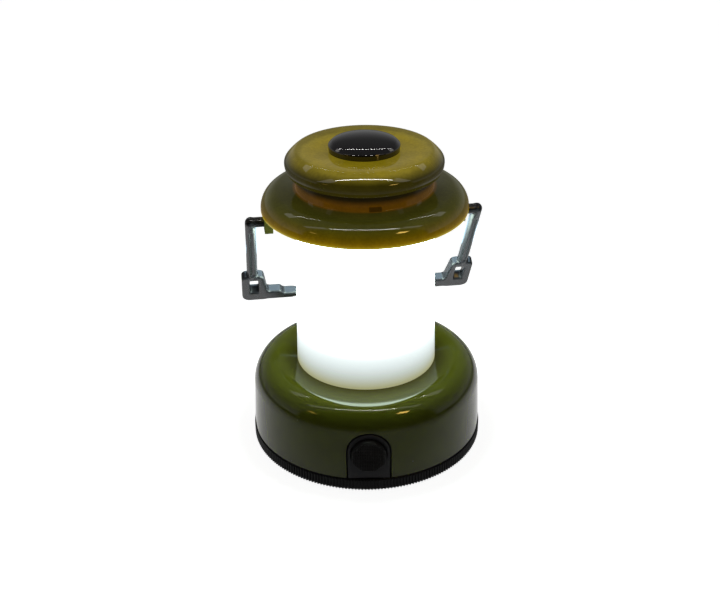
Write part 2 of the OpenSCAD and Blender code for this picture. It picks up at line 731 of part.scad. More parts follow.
// Roof with its neck and the bail's lugs
module roof_outer() {
    rotate_extrude() polygon(concat(
        [[0, roof_z], [roof_r, roof_z]], arc(edge_c, edge_z, edge_w, edge_h, 0, edge_turn),
        [[neck_r, neck_z], [0, neck_z]]));
}
module pivot_lugs() {
    for (s = [-1, 1]) translate([s * (lug_in + lug_out) / 2, 0, pivot_z]) rotate([90, 0, 90])
        linear_extrude(lug_t, center = true) {
            translate([0, -lug_drop / 2]) rounded(lug_w, lug_drop, lug_round);
            translate([-lug_w / 2, -lug_drop / 2]) square([lug_w, lug_drop / 2 + neck_z - pivot_z]);
        }
}
module roof() {
    color("#4a4a1a") difference() {
        union() {
            rotate_extrude() polygon(concat(
                [[roof_r, roof_z]], arc(edge_c, edge_z, edge_w, edge_h, 0, edge_turn),
                [[neck_r, neck_z], [neck_r, neck_top],
                 [neck_r - neck_t, neck_top], [neck_r - neck_t, roof_plate_z], [roof_hole_r, roof_plate_z],
                 [roof_hole_r, globe_top_z], [socket_r, globe_top_z], [socket_r, globe_top_z - socket_l],
                 [socket_r + socket_t, globe_top_z - socket_l], [socket_r + socket_t, neck_z - shell_t]],
                arc(edge_c, edge_z, edge_w - shell_t, edge_h - shell_t, edge_turn, 0),
                [[roof_r - shell_t, roof_z]]));
            for (a = [0, 180]) rotate([0, 0, a + stop_turn])
                translate([-stop_w / 2, -neck_r - stop_out, neck_z - cut])
                    cube([stop_w, stop_out + neck_t / 2, stop_h + cut]);
            intersection() {
                pivot_lugs();
                union() {
                    roof_outer();
                    layer(pivot_z - 2 * lug_drop, roof_z) circle(roof_r);
                }
            }
            spread(3, cap_screw_at, 30) layer(cap_ear_z - cap_ear_t, cap_ear_z) {
                circle(cap_ear_r);
                translate([0, -cap_ear_r]) square([neck_r - neck_t / 2 - cap_screw_at, 2 * cap_ear_r]);
            }
        }
        translate([0, 0, pivot_z]) rotate([0, 90, 0])
            cylinder(r = pin_d / 2 + pin_gap, h = 2 * ring_r, center = true);
        spread(3, cap_screw_at, 30) layer(cap_ear_z - cap_ear_t - cut, cap_ear_z + cut) circle(screw_hole_r);
    }
}
module cap() {
    ceiling = finial_seat - cap_t;
    spigot = neck_r - neck_t - fit;
    color("#57501f") difference() {
        union() {
            rotate_extrude() polygon(concat(
                arc(shoulder_c, belly_z, shoulder_r, cap_belly / sin(lip_turn), -lip_turn, 0, 8),
                arc(shoulder_c, belly_z, shoulder_r, shoulder_r, cap_slope / 8, cap_slope, 7),
                arc(brow_c, cap_top - brow_r, brow_r, brow_r, cap_slope, 90, 8),
                dish(),
                [[finial_r + fit, finial_seat], [stem_r + fit, finial_seat],
                 [stem_r + fit, ceiling], [spigot - cap_spigot_t, ceiling],
                 [spigot - cap_spigot_t, neck_top - cap_spigot_l], [spigot, neck_top - cap_spigot_l],
                 [spigot, neck_top], [cap_r - cap_t, neck_top], [cap_lip_r - cap_lip_t, lip_z]]));
            spread(3, cap_screw_at, 30) layer(cap_ear_z, ceiling + cut) circle(small_boss_r);
        }
        spread(3, cap_screw_at, 30) layer(cap_ear_z - cut, cap_ear_z + cap_screw_l) circle(thread_r);
    }
}
module cap_screws() {
    color("silver") spread(3, cap_screw_at, 30) translate([0, 0, cap_ear_z - cap_ear_t]) screw(cap_screw_l);
}
module finial() {
    stem_foot = finial_seat - cap_t - stem_out;
    color("#111113") rotate_extrude() polygon(concat(
        [[0, stem_foot], [stem_r, stem_foot], [stem_r, finial_seat],
         [finial_r, finial_seat], [finial_r, dome_z]],
        arc(0, dome_z, finial_r - finial_step, finial_h, 0, 90, 20)));
}
module finial_clip() {
    color("silver") layer(finial_seat - cap_t - clip_t, finial_seat - cap_t) difference() {
        circle(stem_r + clip_w);
        circle(stem_r + clip_gap);
    }
}

// Bail, one moulding with a pin, a rod and a corner web on each side
module web_outline() {
    grip_in = web_in - web_flare;
    polygon([
        [web_out - web_round, -rod_l], [web_in + web_round, -rod_l], [web_in, -rod_l - web_round],
        [grip_in, -grip_s], [grip_in, -bar_out], [web_in, -web_foot],
        [web_out - foot_round, -web_foot], [web_out, foot_round - web_foot], [web_out, -rod_l - web_round]]);
    for (x = [web_out - web_round, web_in + web_round]) translate([x, -rod_l - web_round]) circle(web_round);
    translate([web_out - foot_round, foot_round - web_foot]) circle(foot_round);
    polygon([[grip_in, -bar_out], [grip_in, -grip_s], [grip_x + grip_slope, -grip_s],
        [grip_x, -bar_in], [grip_x, -bar_out]]);
}
module slab(t) { rotate([90, 0, 0]) linear_extrude(t, center = true) children(); }
module bail_half() {
    difference() {
        slab(web_t) web_outline();
        slab(2 * web_t) translate([window_x, -window_s]) rounded(window_w, window_h, window_round);
        translate([0, -web_t / 2, 0]) slab(2 * dimple_depth)
            translate([web_in + web_round / 2, dimple_rise - bar_out])
                rounded(dimple_w, dimple_h, dimple_h / 2 - hair);
    }
    slab(bar_t) translate([0, -bar_out]) square([grip_x, bar_h]);
    difference() {
        union() {
            translate([rod_x, 0, -rod_l]) cylinder(d = rod_d, h = rod_l);
            translate([rod_x, 0, -rod_l]) sphere(d = rod_d);
            translate([rod_x, 0, 0]) sphere(d = rod_d);
        }
        translate([0, -rod_d / 2, 0]) slab(2 * groove_depth)
            translate([rod_x, -groove_top - groove_l / 2]) rounded(groove_w, groove_l, groove_w / 2 - hair);
    }
    pin_in = lug_in - fit;
    translate([pin_in - pin_head_t, 0, 0]) rotate([0, 90, 0]) cylinder(r = pin_head_r, h = pin_head_t);
    translate([pin_in - cut, 0, 0]) rotate([0, 90, 0]) cylinder(d = pin_d, h = rod_x - pin_in + cut);
}
module bail() {
    color("#2a2b2e") translate([0, 0, pivot_z]) rotate([hang, 0, 0])
        for (s = [0, 1]) mirror([s, 0, 0]) bail_half();
}

// Wires
module wire(route, first, last) { in_base() tube(route, wire_d / 2, 8, first, last); }
module wire_supply() { color("#b3202a") wire(supply_route, [-1, 0, 0], [0, -1, 0]); }
module wire_switched() { color("#d9b23a") wire(switched_route, [0, 1, 0], [0, 0, 1]); }
module wire_return() { color("#18181a") wire(return_route, [1, 0, 0], [0, 0, 1]); }

base_shell();
battery_cover();
battery_tray();
battery_1();
battery_2();
battery_3();
contact_springs();
contact_plates();
tray_screws();
switch_bezel();
switch_button();
switch_plunger();
switch_body();
switch_board();
switch_screws();
led_column();
led_board();
leds();
led_screws();
column_screws();
globe();
roof();
cap();
cap_screws();
finial();
finial_clip();
bail();
wire_supply();
wire_switched();
wire_return();
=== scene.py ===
"""Looks of a camping lantern: a lit globe between an olive base and an olive roof, with a black bail.

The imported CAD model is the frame. Each visible moulding is made here and stands for its CAD node, and the
pieces inside the lantern keep their CAD shape and get a material. Lengths are in metres, +Z up.
"""

import json
import math

import bmesh
import bpy
import numpy as np
from bpy.props import FloatProperty, FloatVectorProperty, IntProperty, PointerProperty
from mathutils import Matrix, Vector


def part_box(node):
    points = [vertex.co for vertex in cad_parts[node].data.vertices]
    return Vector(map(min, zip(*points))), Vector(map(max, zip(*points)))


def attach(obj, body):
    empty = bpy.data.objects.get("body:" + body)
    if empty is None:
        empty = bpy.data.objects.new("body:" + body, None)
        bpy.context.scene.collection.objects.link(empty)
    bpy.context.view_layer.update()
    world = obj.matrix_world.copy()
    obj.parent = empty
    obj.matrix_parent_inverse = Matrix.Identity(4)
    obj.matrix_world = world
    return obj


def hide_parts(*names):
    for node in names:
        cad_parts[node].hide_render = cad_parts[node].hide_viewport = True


bl_info = {
    "name": "Camping lantern",
    "version": (1, 0, 0),
    "blender": (4, 5, 0),
    "location": "View3D > Sidebar > Lantern",
    "description": "Builds a lit camping lantern with a swinging bail around its CAD frame",
    "category": "Object",
}

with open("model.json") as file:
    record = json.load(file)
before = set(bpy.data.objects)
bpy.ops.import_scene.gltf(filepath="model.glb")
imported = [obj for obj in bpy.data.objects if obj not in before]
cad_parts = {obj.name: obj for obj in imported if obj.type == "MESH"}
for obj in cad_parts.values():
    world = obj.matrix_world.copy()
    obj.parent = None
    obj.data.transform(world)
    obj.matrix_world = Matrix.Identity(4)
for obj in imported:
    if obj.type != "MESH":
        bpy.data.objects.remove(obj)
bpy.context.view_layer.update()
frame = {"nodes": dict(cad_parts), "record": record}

MM = 0.001
# Steps round the axis of a large turned piece
TURNS = 256
# Edges that turn by more than this stay sharp: on most pieces, on the glossy mouldings and on the bail
SHARP = math.radians(32)
GLOSSY_SHARP = math.radians(24)
BAIL_SHARP = math.radians(60)
# Edges that turn by more than this are rounded
ROUNDED = math.radians(50)
# Rounding of a moulding's edge, and the gap round a piece that sits in another
EDGE = 0.3 * MM
FIT = 0.15 * MM
# Wall of the roof's neck, which the cap's spigot fits into
NECK_WALL = 2 * MM
# Points closer than this are one point
SAME = 1e-7
# A quarter turn about each axis
TIP_X, TIP_Y, TIP_Z = [Matrix.Rotation(math.pi / 2, 4, axis) for axis in "XYZ"]
WHITE = (1, 1, 1, 1)


def linear(code):
    """Linear colour of an sRGB hex value."""
    values = [int(code[i:i + 2], 16) / 255 for i in (1, 3, 5)]
    return tuple(v / 12.92 if v <= 0.04045 else ((v + 0.055) / 1.055) ** 2.4 for v in values)


def length(name, mm, description):
    """A length property with its default in millimetres."""
    return FloatProperty(
        name=name, description=description, default=mm * MM, min=0, unit="LENGTH", precision=5)


def angle(name, degrees, description):
    """An angle property with its default in degrees."""
    return FloatProperty(
        name=name, description=description, default=math.radians(degrees), subtype="ANGLE")


def number(name, value, description):
    """A property without a unit."""
    return FloatProperty(name=name, description=description, default=value, min=0)


def colour(name, code, description):
    """A colour property with its default as an sRGB hex value."""
    return FloatVectorProperty(
        name=name, description=description, subtype="COLOR", size=3, min=0, max=1, default=linear(code))


def low(node, axis):
    """Lowest coordinate of a CAD node in millimetres."""
    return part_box(node)[0][axis] / MM


def high(node, axis):
    """Highest coordinate of a CAD node in millimetres."""
    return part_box(node)[1][axis] / MM


class LanternSizes(bpy.types.PropertyGroup):
    """Sizes of the lantern's visible mouldings."""

    ring_diameter: length("Ring diameter", 2 * high("battery_cover", 0), "Diameter over the cover's ribs")
    ring_height: length("Ring height", 4.4, "Height of the ribbed ring")
    rib_width: length("Rib width", 0.84, "Width of one upright rib")
    rib_depth: length("Rib depth", 0.5, "How far a rib stands out of the ring")
    rib_count: IntProperty(name="Ribs", description="Count of ribs round the ring", default=230, min=3)
    wall_foot: length("Wall foot", low("base_shell", 2), "Height of the green wall's foot")
    wall_radius: length("Wall radius", high("base_shell", 1), "Radius of the green wall at its foot")
    wall_draft: length("Wall draft", 0.7, "How much the wall narrows on its way up")
    wall_top: length("Wall top", 23.0, "Height at which the wall turns into the rim")
    rim_width: length("Rim width", 9.5, "Width of the rim's rounding")
    rim_height: length("Rim height", 10.0, "Height of the rim's rounding")
    seat: length("Seat", low("globe", 2), "Height of the globe's seat")
    base_top: length("Base top", 3.9, "Thickness of the base's top")
    shell: length("Shell", 2.2, "Wall thickness of the green mouldings")
    button_diameter: length("Button diameter", 12.9, "Diameter of the rubber button")
    button_height: length("Button height", 15.2, "Height of the button's middle")
    bezel_width: length("Bezel width", 15.5, "Width of the arch round the button")
    bezel_gap: length("Bezel gap", 0.6, "Gap between the bezel and the base's opening")
    arch_rise: length("Arch rise", 0.85, "How far the arch's middle lies above the button's")
    pad_pitch: length("Pad pitch", 0.6, "Spacing of the waffle on the button")
    globe_foot: length("Globe foot", high("globe", 0), "Radius of the globe at its foot")
    globe_top: length("Globe top", 25.4, "Radius of the globe at its upper rim")
    globe_wall: length("Globe wall", 2.0, "Wall thickness of the globe")
    roof_radius: length("Roof radius", high("roof", 1), "Radius of the roof's lower edge")
    roof_edge: length("Roof edge", 95.0, "Height of the roof's lower edge")
    roof_rise: length("Roof rise", 8.5, "Height from the roof's edge to the neck's foot")
    edge_lip: length("Edge lip", 1.0, "Height of the straight lip below the roof's rounding")
    edge_width: length("Edge width", 6.6, "Width of the rounding of the roof's edge")
    edge_height: length("Edge height", 6.9, "Height of the rounding of the roof's edge")
    neck_radius: length("Neck radius", 25.2, "Radius of the neck under the cap")
    neck_top: length("Neck top", high("roof", 2), "Height of the neck's upper end")
    stop_width: length("Stop width", 4.4, "Width of the stops at the neck's foot")
    stop_height: length("Stop height", 1.7, "Height of the stops at the neck's foot")
    cap_radius: length("Cap radius", high("cap", 1), "Widest radius of the cap")
    cap_lip: length("Cap lip", 109.7, "Height of the cap's lower edge")
    cap_belly: length("Cap belly", 112.9, "Height at which the cap is widest")
    cap_top: length("Cap top", high("cap", 2), "Height of the cap's flat top")
    cap_shoulder: length("Cap shoulder", 2.4, "Radius of the cap's rounded shoulder")
    cap_brow: length("Cap brow", 2.0, "Radius between the cap's slope and its top")
    dish_depth: length("Dish depth", 0.5, "Depth of the dish in the cap's top")
    finial_radius: length("Finial radius", high("finial", 1), "Radius of the finial")
    finial_lip: length("Finial lip", 119.1, "Height at which the finial's dome starts")
    finial_top: length("Finial top", high("finial", 2), "Height of the finial's dome")
    pivot: length("Pivot", 91.3, "Height of the bail's pivots")
    lug_drop: length("Lug drop", 3.8, "How far the lugs reach below the pivots")
    rod_place: length("Rod place", 42.1, "Half the spacing of the bail's rods")
    rod_diameter: length("Rod diameter", 4.2, "Diameter of the bail's rods")
    rod_length: length("Rod length", 37.1, "Length of the rods down to the corner webs")
    web_length: length("Web length", 18.2, "Length of a corner web along the rods")
    web_width: length("Web width", 8.7, "Width of a corner web")
    web_thickness: length("Web thickness", 3.9, "Thickness of a corner web")
    bar_height: length("Bar height", 3.5, "Height of the grip bar")
    bar_thickness: length("Bar thickness", 3.7, "Thickness of the grip bar")
    bail_lean: angle("Bail lean", 33.4543, "Angle at which the bail leans on the globe")
    base_turn: angle("Base turn", -6.9, "How far the base is turned against the bail")


class LanternColours(bpy.types.PropertyGroup):
    """Colours of the lantern's visible mouldings."""

    olive: colour("Olive", "#5b5e18", "Green plastic of the base")
    roof_olive: colour("Roof olive", "#3a3a12", "Green plastic of the roof and cap")
    black: colour("Black", "#1b1b1d", "Black plastic of the ribbed cover")
    bezel: colour("Bezel", "#242327", "Black plastic round the button")
    rubber: colour("Rubber", "#121214", "Rubber of the button")
    finial: colour("Finial", "#242226", "Polished plastic of the finial")
    nylon: colour("Nylon", "#2e2e34", "Nylon of the bail")
    globe: colour("Globe", "#9ea09c", "Frosted plastic of the globe")


class LanternStage(bpy.types.PropertyGroup):
    """The camera's place and the light."""

    distance: length("Distance", 431.14, "Distance of the camera from the lantern's middle")
    elevation: angle("Elevation", 27.597, "Height of the camera as an angle")
    turn: angle("Turn", 7.5, "How far the camera stands to the left")
    roll: angle("Roll", -0.653, "Tilt of the camera about its own axis")
    aim: length("Aim", 57.727, "Height that the camera looks at")
    side: FloatProperty(
        name="Side", description="Sideways shift of the camera", default=-2.126 * MM, unit="LENGTH",
        precision=5)
    lens: number("Lens", 56.36, "Focal length in millimetres")
    walls: number("Walls", 0.5, "Strength of the tent's white walls")
    ceiling: number("Ceiling", 0.16, "Strength of the tent's upper part")
    opening: number("Opening", 0.01, "Strength of the dark side behind the camera")
    mirrored: number("Mirrored", 0.6, "Share of the tent's light that gloss shows")
    lights: number("Lights", 120.0, "Strength of the rows of small lights")


# Meshes


def shift(x, y, z):
    """A matrix that moves a shape."""
    return Matrix.Translation((x, y, z))


def make(name, points, faces):
    """A mesh object from points in metres, its doubles merged and its faces outwards."""
    mesh = bpy.data.meshes.new(name)
    mesh.from_pydata([tuple(p) for p in points], [], faces)
    work = bmesh.new()
    work.from_mesh(mesh)
    bmesh.ops.remove_doubles(work, verts=work.verts, dist=SAME)
    bmesh.ops.recalc_face_normals(work, faces=work.faces)
    work.to_mesh(mesh)
    work.free()
    piece = bpy.data.objects.new(name, mesh)
    bpy.context.scene.collection.objects.link(piece)
    return piece


def arc(r, z, rx, rz, start, end, steps):
    """Points of an arc of an ellipse round (r, z), angles in degrees."""
    angles = np.radians(np.linspace(start, end, steps + 1))
    return [(r + rx * math.cos(a), z + rz * math.sin(a)) for a in angles]


def fillet(before, corner, after, radius, steps=5):
    """Points that round one corner of an outline."""
    a = np.subtract(before, corner)
    b = np.subtract(after, corner)
    a = a / np.linalg.norm(a)
    b = b / np.linalg.norm(b)
    half = math.acos(max(-1, min(1, float(a @ b)))) / 2
    run = radius / math.tan(half)
    middle = np.array(corner) + (a + b) / np.linalg.norm(a + b) * radius / math.sin(half)
    first = np.array(corner) + a * run - middle
    last = np.array(corner) + b * run - middle
    span = math.acos(max(-1, min(1, float(first @ last) / radius ** 2)))
    points = []
    for i in range(steps + 1):
        t = i / steps
        blend = (math.sin((1 - t) * span) * first + math.sin(t * span) * last) / math.sin(span)
        points.append(tuple(middle + blend))
    return points


def outline(*corners):
    """A closed outline from (x, y) points and (x, y, radius) corners that are rounded."""
    points = []
    count = len(corners)
    for i, corner in enumerate(corners):
        if len(corner) == 3:
            points += fillet(corners[i - 1][:2], corner[:2], corners[(i + 1) % count][:2], corner[2])
        else:
            points.append(corner)
    return points


def arch(s, half, foot, steps):
    """The outline of the arch round the button, with its straight foot below."""
    return arc(0, s.arch_rise, half, half, 0, 180, steps) + [(-half, -foot), (half, -foot)]


def ring_points(radius, steps):
    """Points of a circle."""
    angles = np.linspace(0, 2 * math.pi, steps, endpoint=False)
    return [(radius * math.cos(a), radius * math.sin(a)) for a in angles]


def lathe(name, profile, turns=TURNS):
    """A closed outline in r and z turned round the Z axis."""
    angles = np.linspace(0, 2 * math.pi, turns, endpoint=False)
    rows = len(profile)
    points = [(r * math.cos(a), r * math.sin(a), z) for a in angles for r, z in profile]
    faces = []
    for i in range(turns):
        here, there = i * rows, (i + 1) % turns * rows
        for k in range(rows):
            j = (k + 1) % rows
            # A side of the outline that lies on the axis makes no face
            if max(profile[k][0], profile[j][0]) > SAME:
                faces.append([here + k, here + j, there + j, there + k])
    return make(name, points, faces)


def prism(name, points, depth, matrix):
    """A flat outline thickened by depth about its plane and placed by matrix."""
    count = len(points)
    layers = [matrix @ Vector((x, y, z)) for z in (-depth / 2, depth / 2) for x, y in points]
    sides = [[i, (i + 1) % count, count + (i + 1) % count, count + i] for i in range(count)]
    caps = [list(range(count))[::-1], list(range(count, 2 * count))]
    return make(name, layers, sides + caps)


def baked(piece):
    """Turns a piece with its modifiers into a plain mesh."""
    bpy.context.view_layer.update()
    graph = bpy.context.evaluated_depsgraph_get()
    mesh = bpy.data.meshes.new_from_object(piece.evaluated_get(graph))
    piece.modifiers.clear()
    piece.data = mesh
    mesh.name = piece.name
    return piece


def combine(piece, tool, operation):
    """Joins a solid to a piece or cuts it out, and deletes the solid."""
    change = piece.modifiers.new("Combine", "BOOLEAN")
    change.operation = operation
    change.solver = "EXACT"
    change.object = tool
    baked(piece)
    bpy.data.objects.remove(tool)
    if not piece.data.polygons:
        raise RuntimeError(f"{piece.name} was lost in a cut")


def round_edges(piece, radius, segments):
    """Rounds the edges of a piece."""
    soften = piece.modifiers.new("Edges", "BEVEL")
    soften.width = radius
    soften.segments = segments
    soften.limit_method = "ANGLE"
    soften.angle_limit = ROUNDED
    return baked(piece)


def merge(name, parts):
    """One object from the meshes of several, which may overlap."""
    work = bmesh.new()
    for part in parts:
        work.from_mesh(part.data)
    mesh = bpy.data.meshes.new(name)
    work.to_mesh(mesh)
    work.free()
    for part in parts:
        bpy.data.objects.remove(part)
    piece = bpy.data.objects.new(name, mesh)
    bpy.context.scene.collection.objects.link(piece)
    return piece


def seat_on(piece, body, node, material, sharp=SHARP):
    """Shades a finished piece and puts it in the frame in place of its CAD node."""
    piece.data.shade_smooth()
    piece.data.set_sharp_from_angle(angle=sharp)
    piece.data.materials.clear()
    piece.data.materials.append(material)
    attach(piece, body)
    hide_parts(node)


def with_nodes(piece, tree, values):
    """Runs a Geometry Nodes tree on a piece, its inputs given by name, and keeps the result as a mesh."""
    change = piece.modifiers.new(tree.name, "NODES")
    change.node_group = tree
    for item in tree.interface.items_tree:
        if item.in_out == "INPUT" and item.name in values:
            change[item.identifier] = values[item.name]
    return baked(piece)


# Node trees


def add(tree, kind, links=None, **settings):
    """Adds a node with its settings, and links or sets its inputs."""
    made = tree.nodes.new(kind)
    for key, value in settings.items():
        setattr(made, key, value)
    for key, value in (links or {}).items():
        if isinstance(value, bpy.types.NodeSocket):
            tree.links.new(value, made.inputs[key])
        else:
            made.inputs[key].default_value = value
    return made


def geometry_tree(name, inputs):
    """An empty Geometry Nodes tree with a geometry input and output and the named inputs."""
    tree = bpy.data.node_groups.new(name, "GeometryNodeTree")
    tree.interface.new_socket("Geometry", in_out="INPUT", socket_type="NodeSocketGeometry")
    for label, kind in inputs.items():
        tree.interface.new_socket(label, in_out="INPUT", socket_type=kind)
    tree.interface.new_socket("Geometry", in_out="OUTPUT", socket_type="NodeSocketGeometry")
    return tree, tree.nodes.new("NodeGroupInput").outputs


def end_tree(tree, first, second, material):
    """Ends a Geometry Nodes tree: realizes and joins its parts and sets their material."""
    real = add(tree, "GeometryNodeRealizeInstances", {"Geometry": second})
    joined = add(tree, "GeometryNodeJoinGeometry")
    tree.links.new(first, joined.inputs[0])
    tree.links.new(real.outputs[0], joined.inputs[0])
    painted = add(tree, "GeometryNodeSetMaterial", {"Geometry": joined.outputs[0], "Material": material})
    end = add(tree, "NodeGroupOutput")
    tree.links.new(painted.outputs[0], end.inputs[0])


def rib_tree():
    """Upright round ribs in a ring."""
    tree, given = geometry_tree("Rib ring", {
        "Radius": "NodeSocketFloat", "Width": "NodeSocketFloat", "Height": "NodeSocketFloat",
        "Middle": "NodeSocketFloat", "Count": "NodeSocketInt", "Material": "NodeSocketMaterial"})
    ring = add(tree, "GeometryNodeMeshCircle", {"Vertices": given["Count"], "Radius": given["Radius"]})
    lift = add(tree, "ShaderNodeCombineXYZ", {"Z": given["Middle"]})
    places = add(tree, "GeometryNodeSetPosition", {"Geometry": ring.outputs[0], "Offset": lift.outputs[0]})
    half = add(tree, "ShaderNodeMath", {0: given["Width"], 1: 2.0}, operation="DIVIDE")
    rib = add(tree, "GeometryNodeMeshCylinder", {
        "Vertices": 12, "Radius": half.outputs[0], "Depth": given["Height"]})
    ribs = add(tree, "GeometryNodeInstanceOnPoints", {
        "Points": places.outputs[0], "Instance": rib.outputs[0]})
    end_tree(tree, given["Geometry"], ribs.outputs[0], given["Material"])
    return tree


def pad_tree():
    """A waffle of small four-sided pads on a crowned round face."""
    tree, given = geometry_tree("Waffle", {
        "Radius": "NodeSocketFloat", "Pitch": "NodeSocketFloat", "Crown": "NodeSocketFloat",
        "Count": "NodeSocketInt", "Material": "NodeSocketMaterial"})
    width = add(tree, "ShaderNodeMath", {0: given["Count"], 1: given["Pitch"]}, operation="MULTIPLY")
    grid = add(tree, "GeometryNodeMeshGrid", {
        "Size X": width.outputs[0], "Size Y": width.outputs[0],
        "Vertices X": given["Count"], "Vertices Y": given["Count"]})
    place = add(tree, "GeometryNodeInputPosition")
    away = add(tree, "ShaderNodeVectorMath", {0: place.outputs[0]}, operation="LENGTH")
    outside = add(tree, "FunctionNodeCompare", {"A": away.outputs["Value"], "B": given["Radius"]},
                  data_type="FLOAT", operation="GREATER_THAN")
    kept = add(tree, "GeometryNodeDeleteGeometry", {
        "Geometry": grid.outputs[0], "Selection": outside.outputs[0]}, domain="POINT")
    # The pads follow the crown: they sink with the square of their distance from the middle
    share = add(tree, "ShaderNodeMath", {0: away.outputs["Value"], 1: given["Radius"]}, operation="DIVIDE")
    square = add(tree, "ShaderNodeMath", {0: share.outputs[0], 1: 2.0}, operation="POWER")
    drop = add(tree, "ShaderNodeMath", {0: square.outputs[0], 1: given["Crown"]}, operation="MULTIPLY")
    below = add(tree, "ShaderNodeMath", {0: drop.outputs[0], 1: -1.0}, operation="MULTIPLY")
    sag = add(tree, "ShaderNodeCombineXYZ", {"Z": below.outputs[0]})
    crowned = add(tree, "GeometryNodeSetPosition", {"Geometry": kept.outputs[0], "Offset": sag.outputs[0]})
    # A pad's foot, top and height as shares of the pitch
    sizes = {"Radius Bottom": 0.58, "Radius Top": 0.3, "Depth": 0.4}
    pad = add(tree, "GeometryNodeMeshCone", {"Vertices": 4})
    for socket, part in sizes.items():
        size = add(tree, "ShaderNodeMath", {0: given["Pitch"], 1: part}, operation="MULTIPLY")
        tree.links.new(size.outputs[0], pad.inputs[socket])
    turned = add(tree, "GeometryNodeTransform", {
        "Geometry": pad.outputs[0], "Rotation": (0.0, 0.0, math.radians(45))})
    pads = add(tree, "GeometryNodeInstanceOnPoints", {
        "Points": crowned.outputs[0], "Instance": turned.outputs[0]})
    end_tree(tree, given["Geometry"], pads.outputs[0], given["Material"])
    return tree


# Materials


def surface(name, base, roughness, grain, height, **sockets):
    """A moulded surface: faint colour drift, uneven gloss and a fine grain of a real size in millimetres."""
    drift_size = 18 * MM
    material = bpy.data.materials.new(name)
    material.use_nodes = True
    tree = material.node_tree
    shader = tree.nodes["Principled BSDF"]
    for key, value in sockets.items():
        shader.inputs[key.replace("_", " ")].default_value = value
    place = add(tree, "ShaderNodeTexCoord").outputs["Object"]
    drift = add(tree, "ShaderNodeTexNoise", {"Vector": place, "Scale": 1 / drift_size, "Detail": 2.0})
    tint = add(tree, "ShaderNodeMix", {"Factor": drift.outputs["Fac"]}, data_type="RGBA")
    for socket, share in (("A", 0.9), ("B", 1.1)):
        tint.inputs[socket].default_value = (*[share * c for c in base], 1)
    tree.links.new(tint.outputs["Result"], shader.inputs["Base Color"])
    fine = add(tree, "ShaderNodeTexNoise", {"Vector": place, "Scale": 1 / (grain * MM), "Detail": 3.0})
    gloss = add(tree, "ShaderNodeMapRange", {
        "Value": fine.outputs["Fac"], "To Min": roughness * 0.88, "To Max": roughness * 1.12})
    tree.links.new(gloss.outputs[0], shader.inputs["Roughness"])
    bump = add(tree, "ShaderNodeBump", {
        "Height": fine.outputs["Fac"], "Distance": height * MM, "Strength": 0.6})
    tree.links.new(bump.outputs[0], shader.inputs["Normal"])
    return material, tree, shader, tint, place


def dust(tree, shader, tint, place):
    """Pale dust specks of about a quarter of a millimetre, some 9 mm apart, as glossy mouldings show them."""
    spacing = 9 * MM
    spots = add(tree, "ShaderNodeTexVoronoi", {"Vector": place, "Scale": 1 / spacing, "Randomness": 1.0})
    speck = add(tree, "ShaderNodeMapRange", {
        "Value": spots.outputs["Distance"], "From Min": 0.018, "From Max": 0.034,
        "To Min": 0.9, "To Max": 0.0})
    mixed = add(tree, "ShaderNodeMix", {"Factor": speck.outputs[0]}, data_type="RGBA")
    tree.links.new(tint.outputs["Result"], mixed.inputs["A"])
    mixed.inputs["B"].default_value = (*linear("#9a9a88"), 1)
    tree.links.new(mixed.outputs["Result"], shader.inputs["Base Color"])


def glossy_olive(name, base):
    """Mould-polished gloss ABS: sharp reflections over a faint orange peel 1.4 mm wide, and some dust."""
    material, tree, shader, tint, place = surface(
        name, base, roughness=0.04, grain=1.4, height=0.002, IOR=1.52)
    dust(tree, shader, tint, place)
    return material, tree, shader, place


def height_share(tree, place, bottom, top):
    """0 to 1 between two heights of the lantern."""
    parts = add(tree, "ShaderNodeSeparateXYZ", {"Vector": place})
    return add(tree, "ShaderNodeMapRange", {
        "Value": parts.outputs["Z"], "From Min": bottom, "From Max": top}).outputs[0]


def glow(tree, shader, factor, stops, strength=1.0):
    """Emission, its colours as (place, hex) stops along a factor: the globe's own light, and painted light
    through the roof and cap.
    """
    ramp = add(tree, "ShaderNodeValToRGB", {"Fac": factor})
    elements = ramp.color_ramp.elements
    while len(elements) < len(stops):
        elements.new(0.5)
    for element, (at, code) in zip(elements, stops):
        element.position = at
        element.color = (*linear(code), 1)
    tree.links.new(ramp.outputs["Color"], shader.inputs["Emission Color"])
    shader.inputs["Emission Strength"].default_value = strength


def mottle(tree, shader, place, strength):
    """Uneven painted glow: filler in the plastic shows in it as a fine grain and as soft clouds."""
    grain = 0.9 * MM
    cloud = 7 * MM
    noise = [
        add(tree, "ShaderNodeTexNoise", {"Vector": place, "Scale": 1 / size, "Detail": 2.0}).outputs["Fac"]
        for size in (grain, cloud)]
    both = add(tree, "ShaderNodeMath", {0: noise[0], 1: noise[1]}, operation="ADD")
    share = add(tree, "ShaderNodeMapRange", {
        "Value": both.outputs[0], "From Min": 0.7, "From Max": 1.3, "To Min": 0.84, "To Max": 1.16})
    uneven = add(tree, "ShaderNodeMath", {0: share.outputs[0], 1: strength}, operation="MULTIPLY")
    tree.links.new(uneven.outputs[0], shader.inputs["Emission Strength"])


def empty_tree(owner):
    """The emptied node tree of a new material or world."""
    owner.use_nodes = True
    owner.node_tree.nodes.clear()
    return owner.node_tree


class LanternOperator:
    """What the lantern's operators share."""

    bl_options = {"REGISTER", "UNDO"}


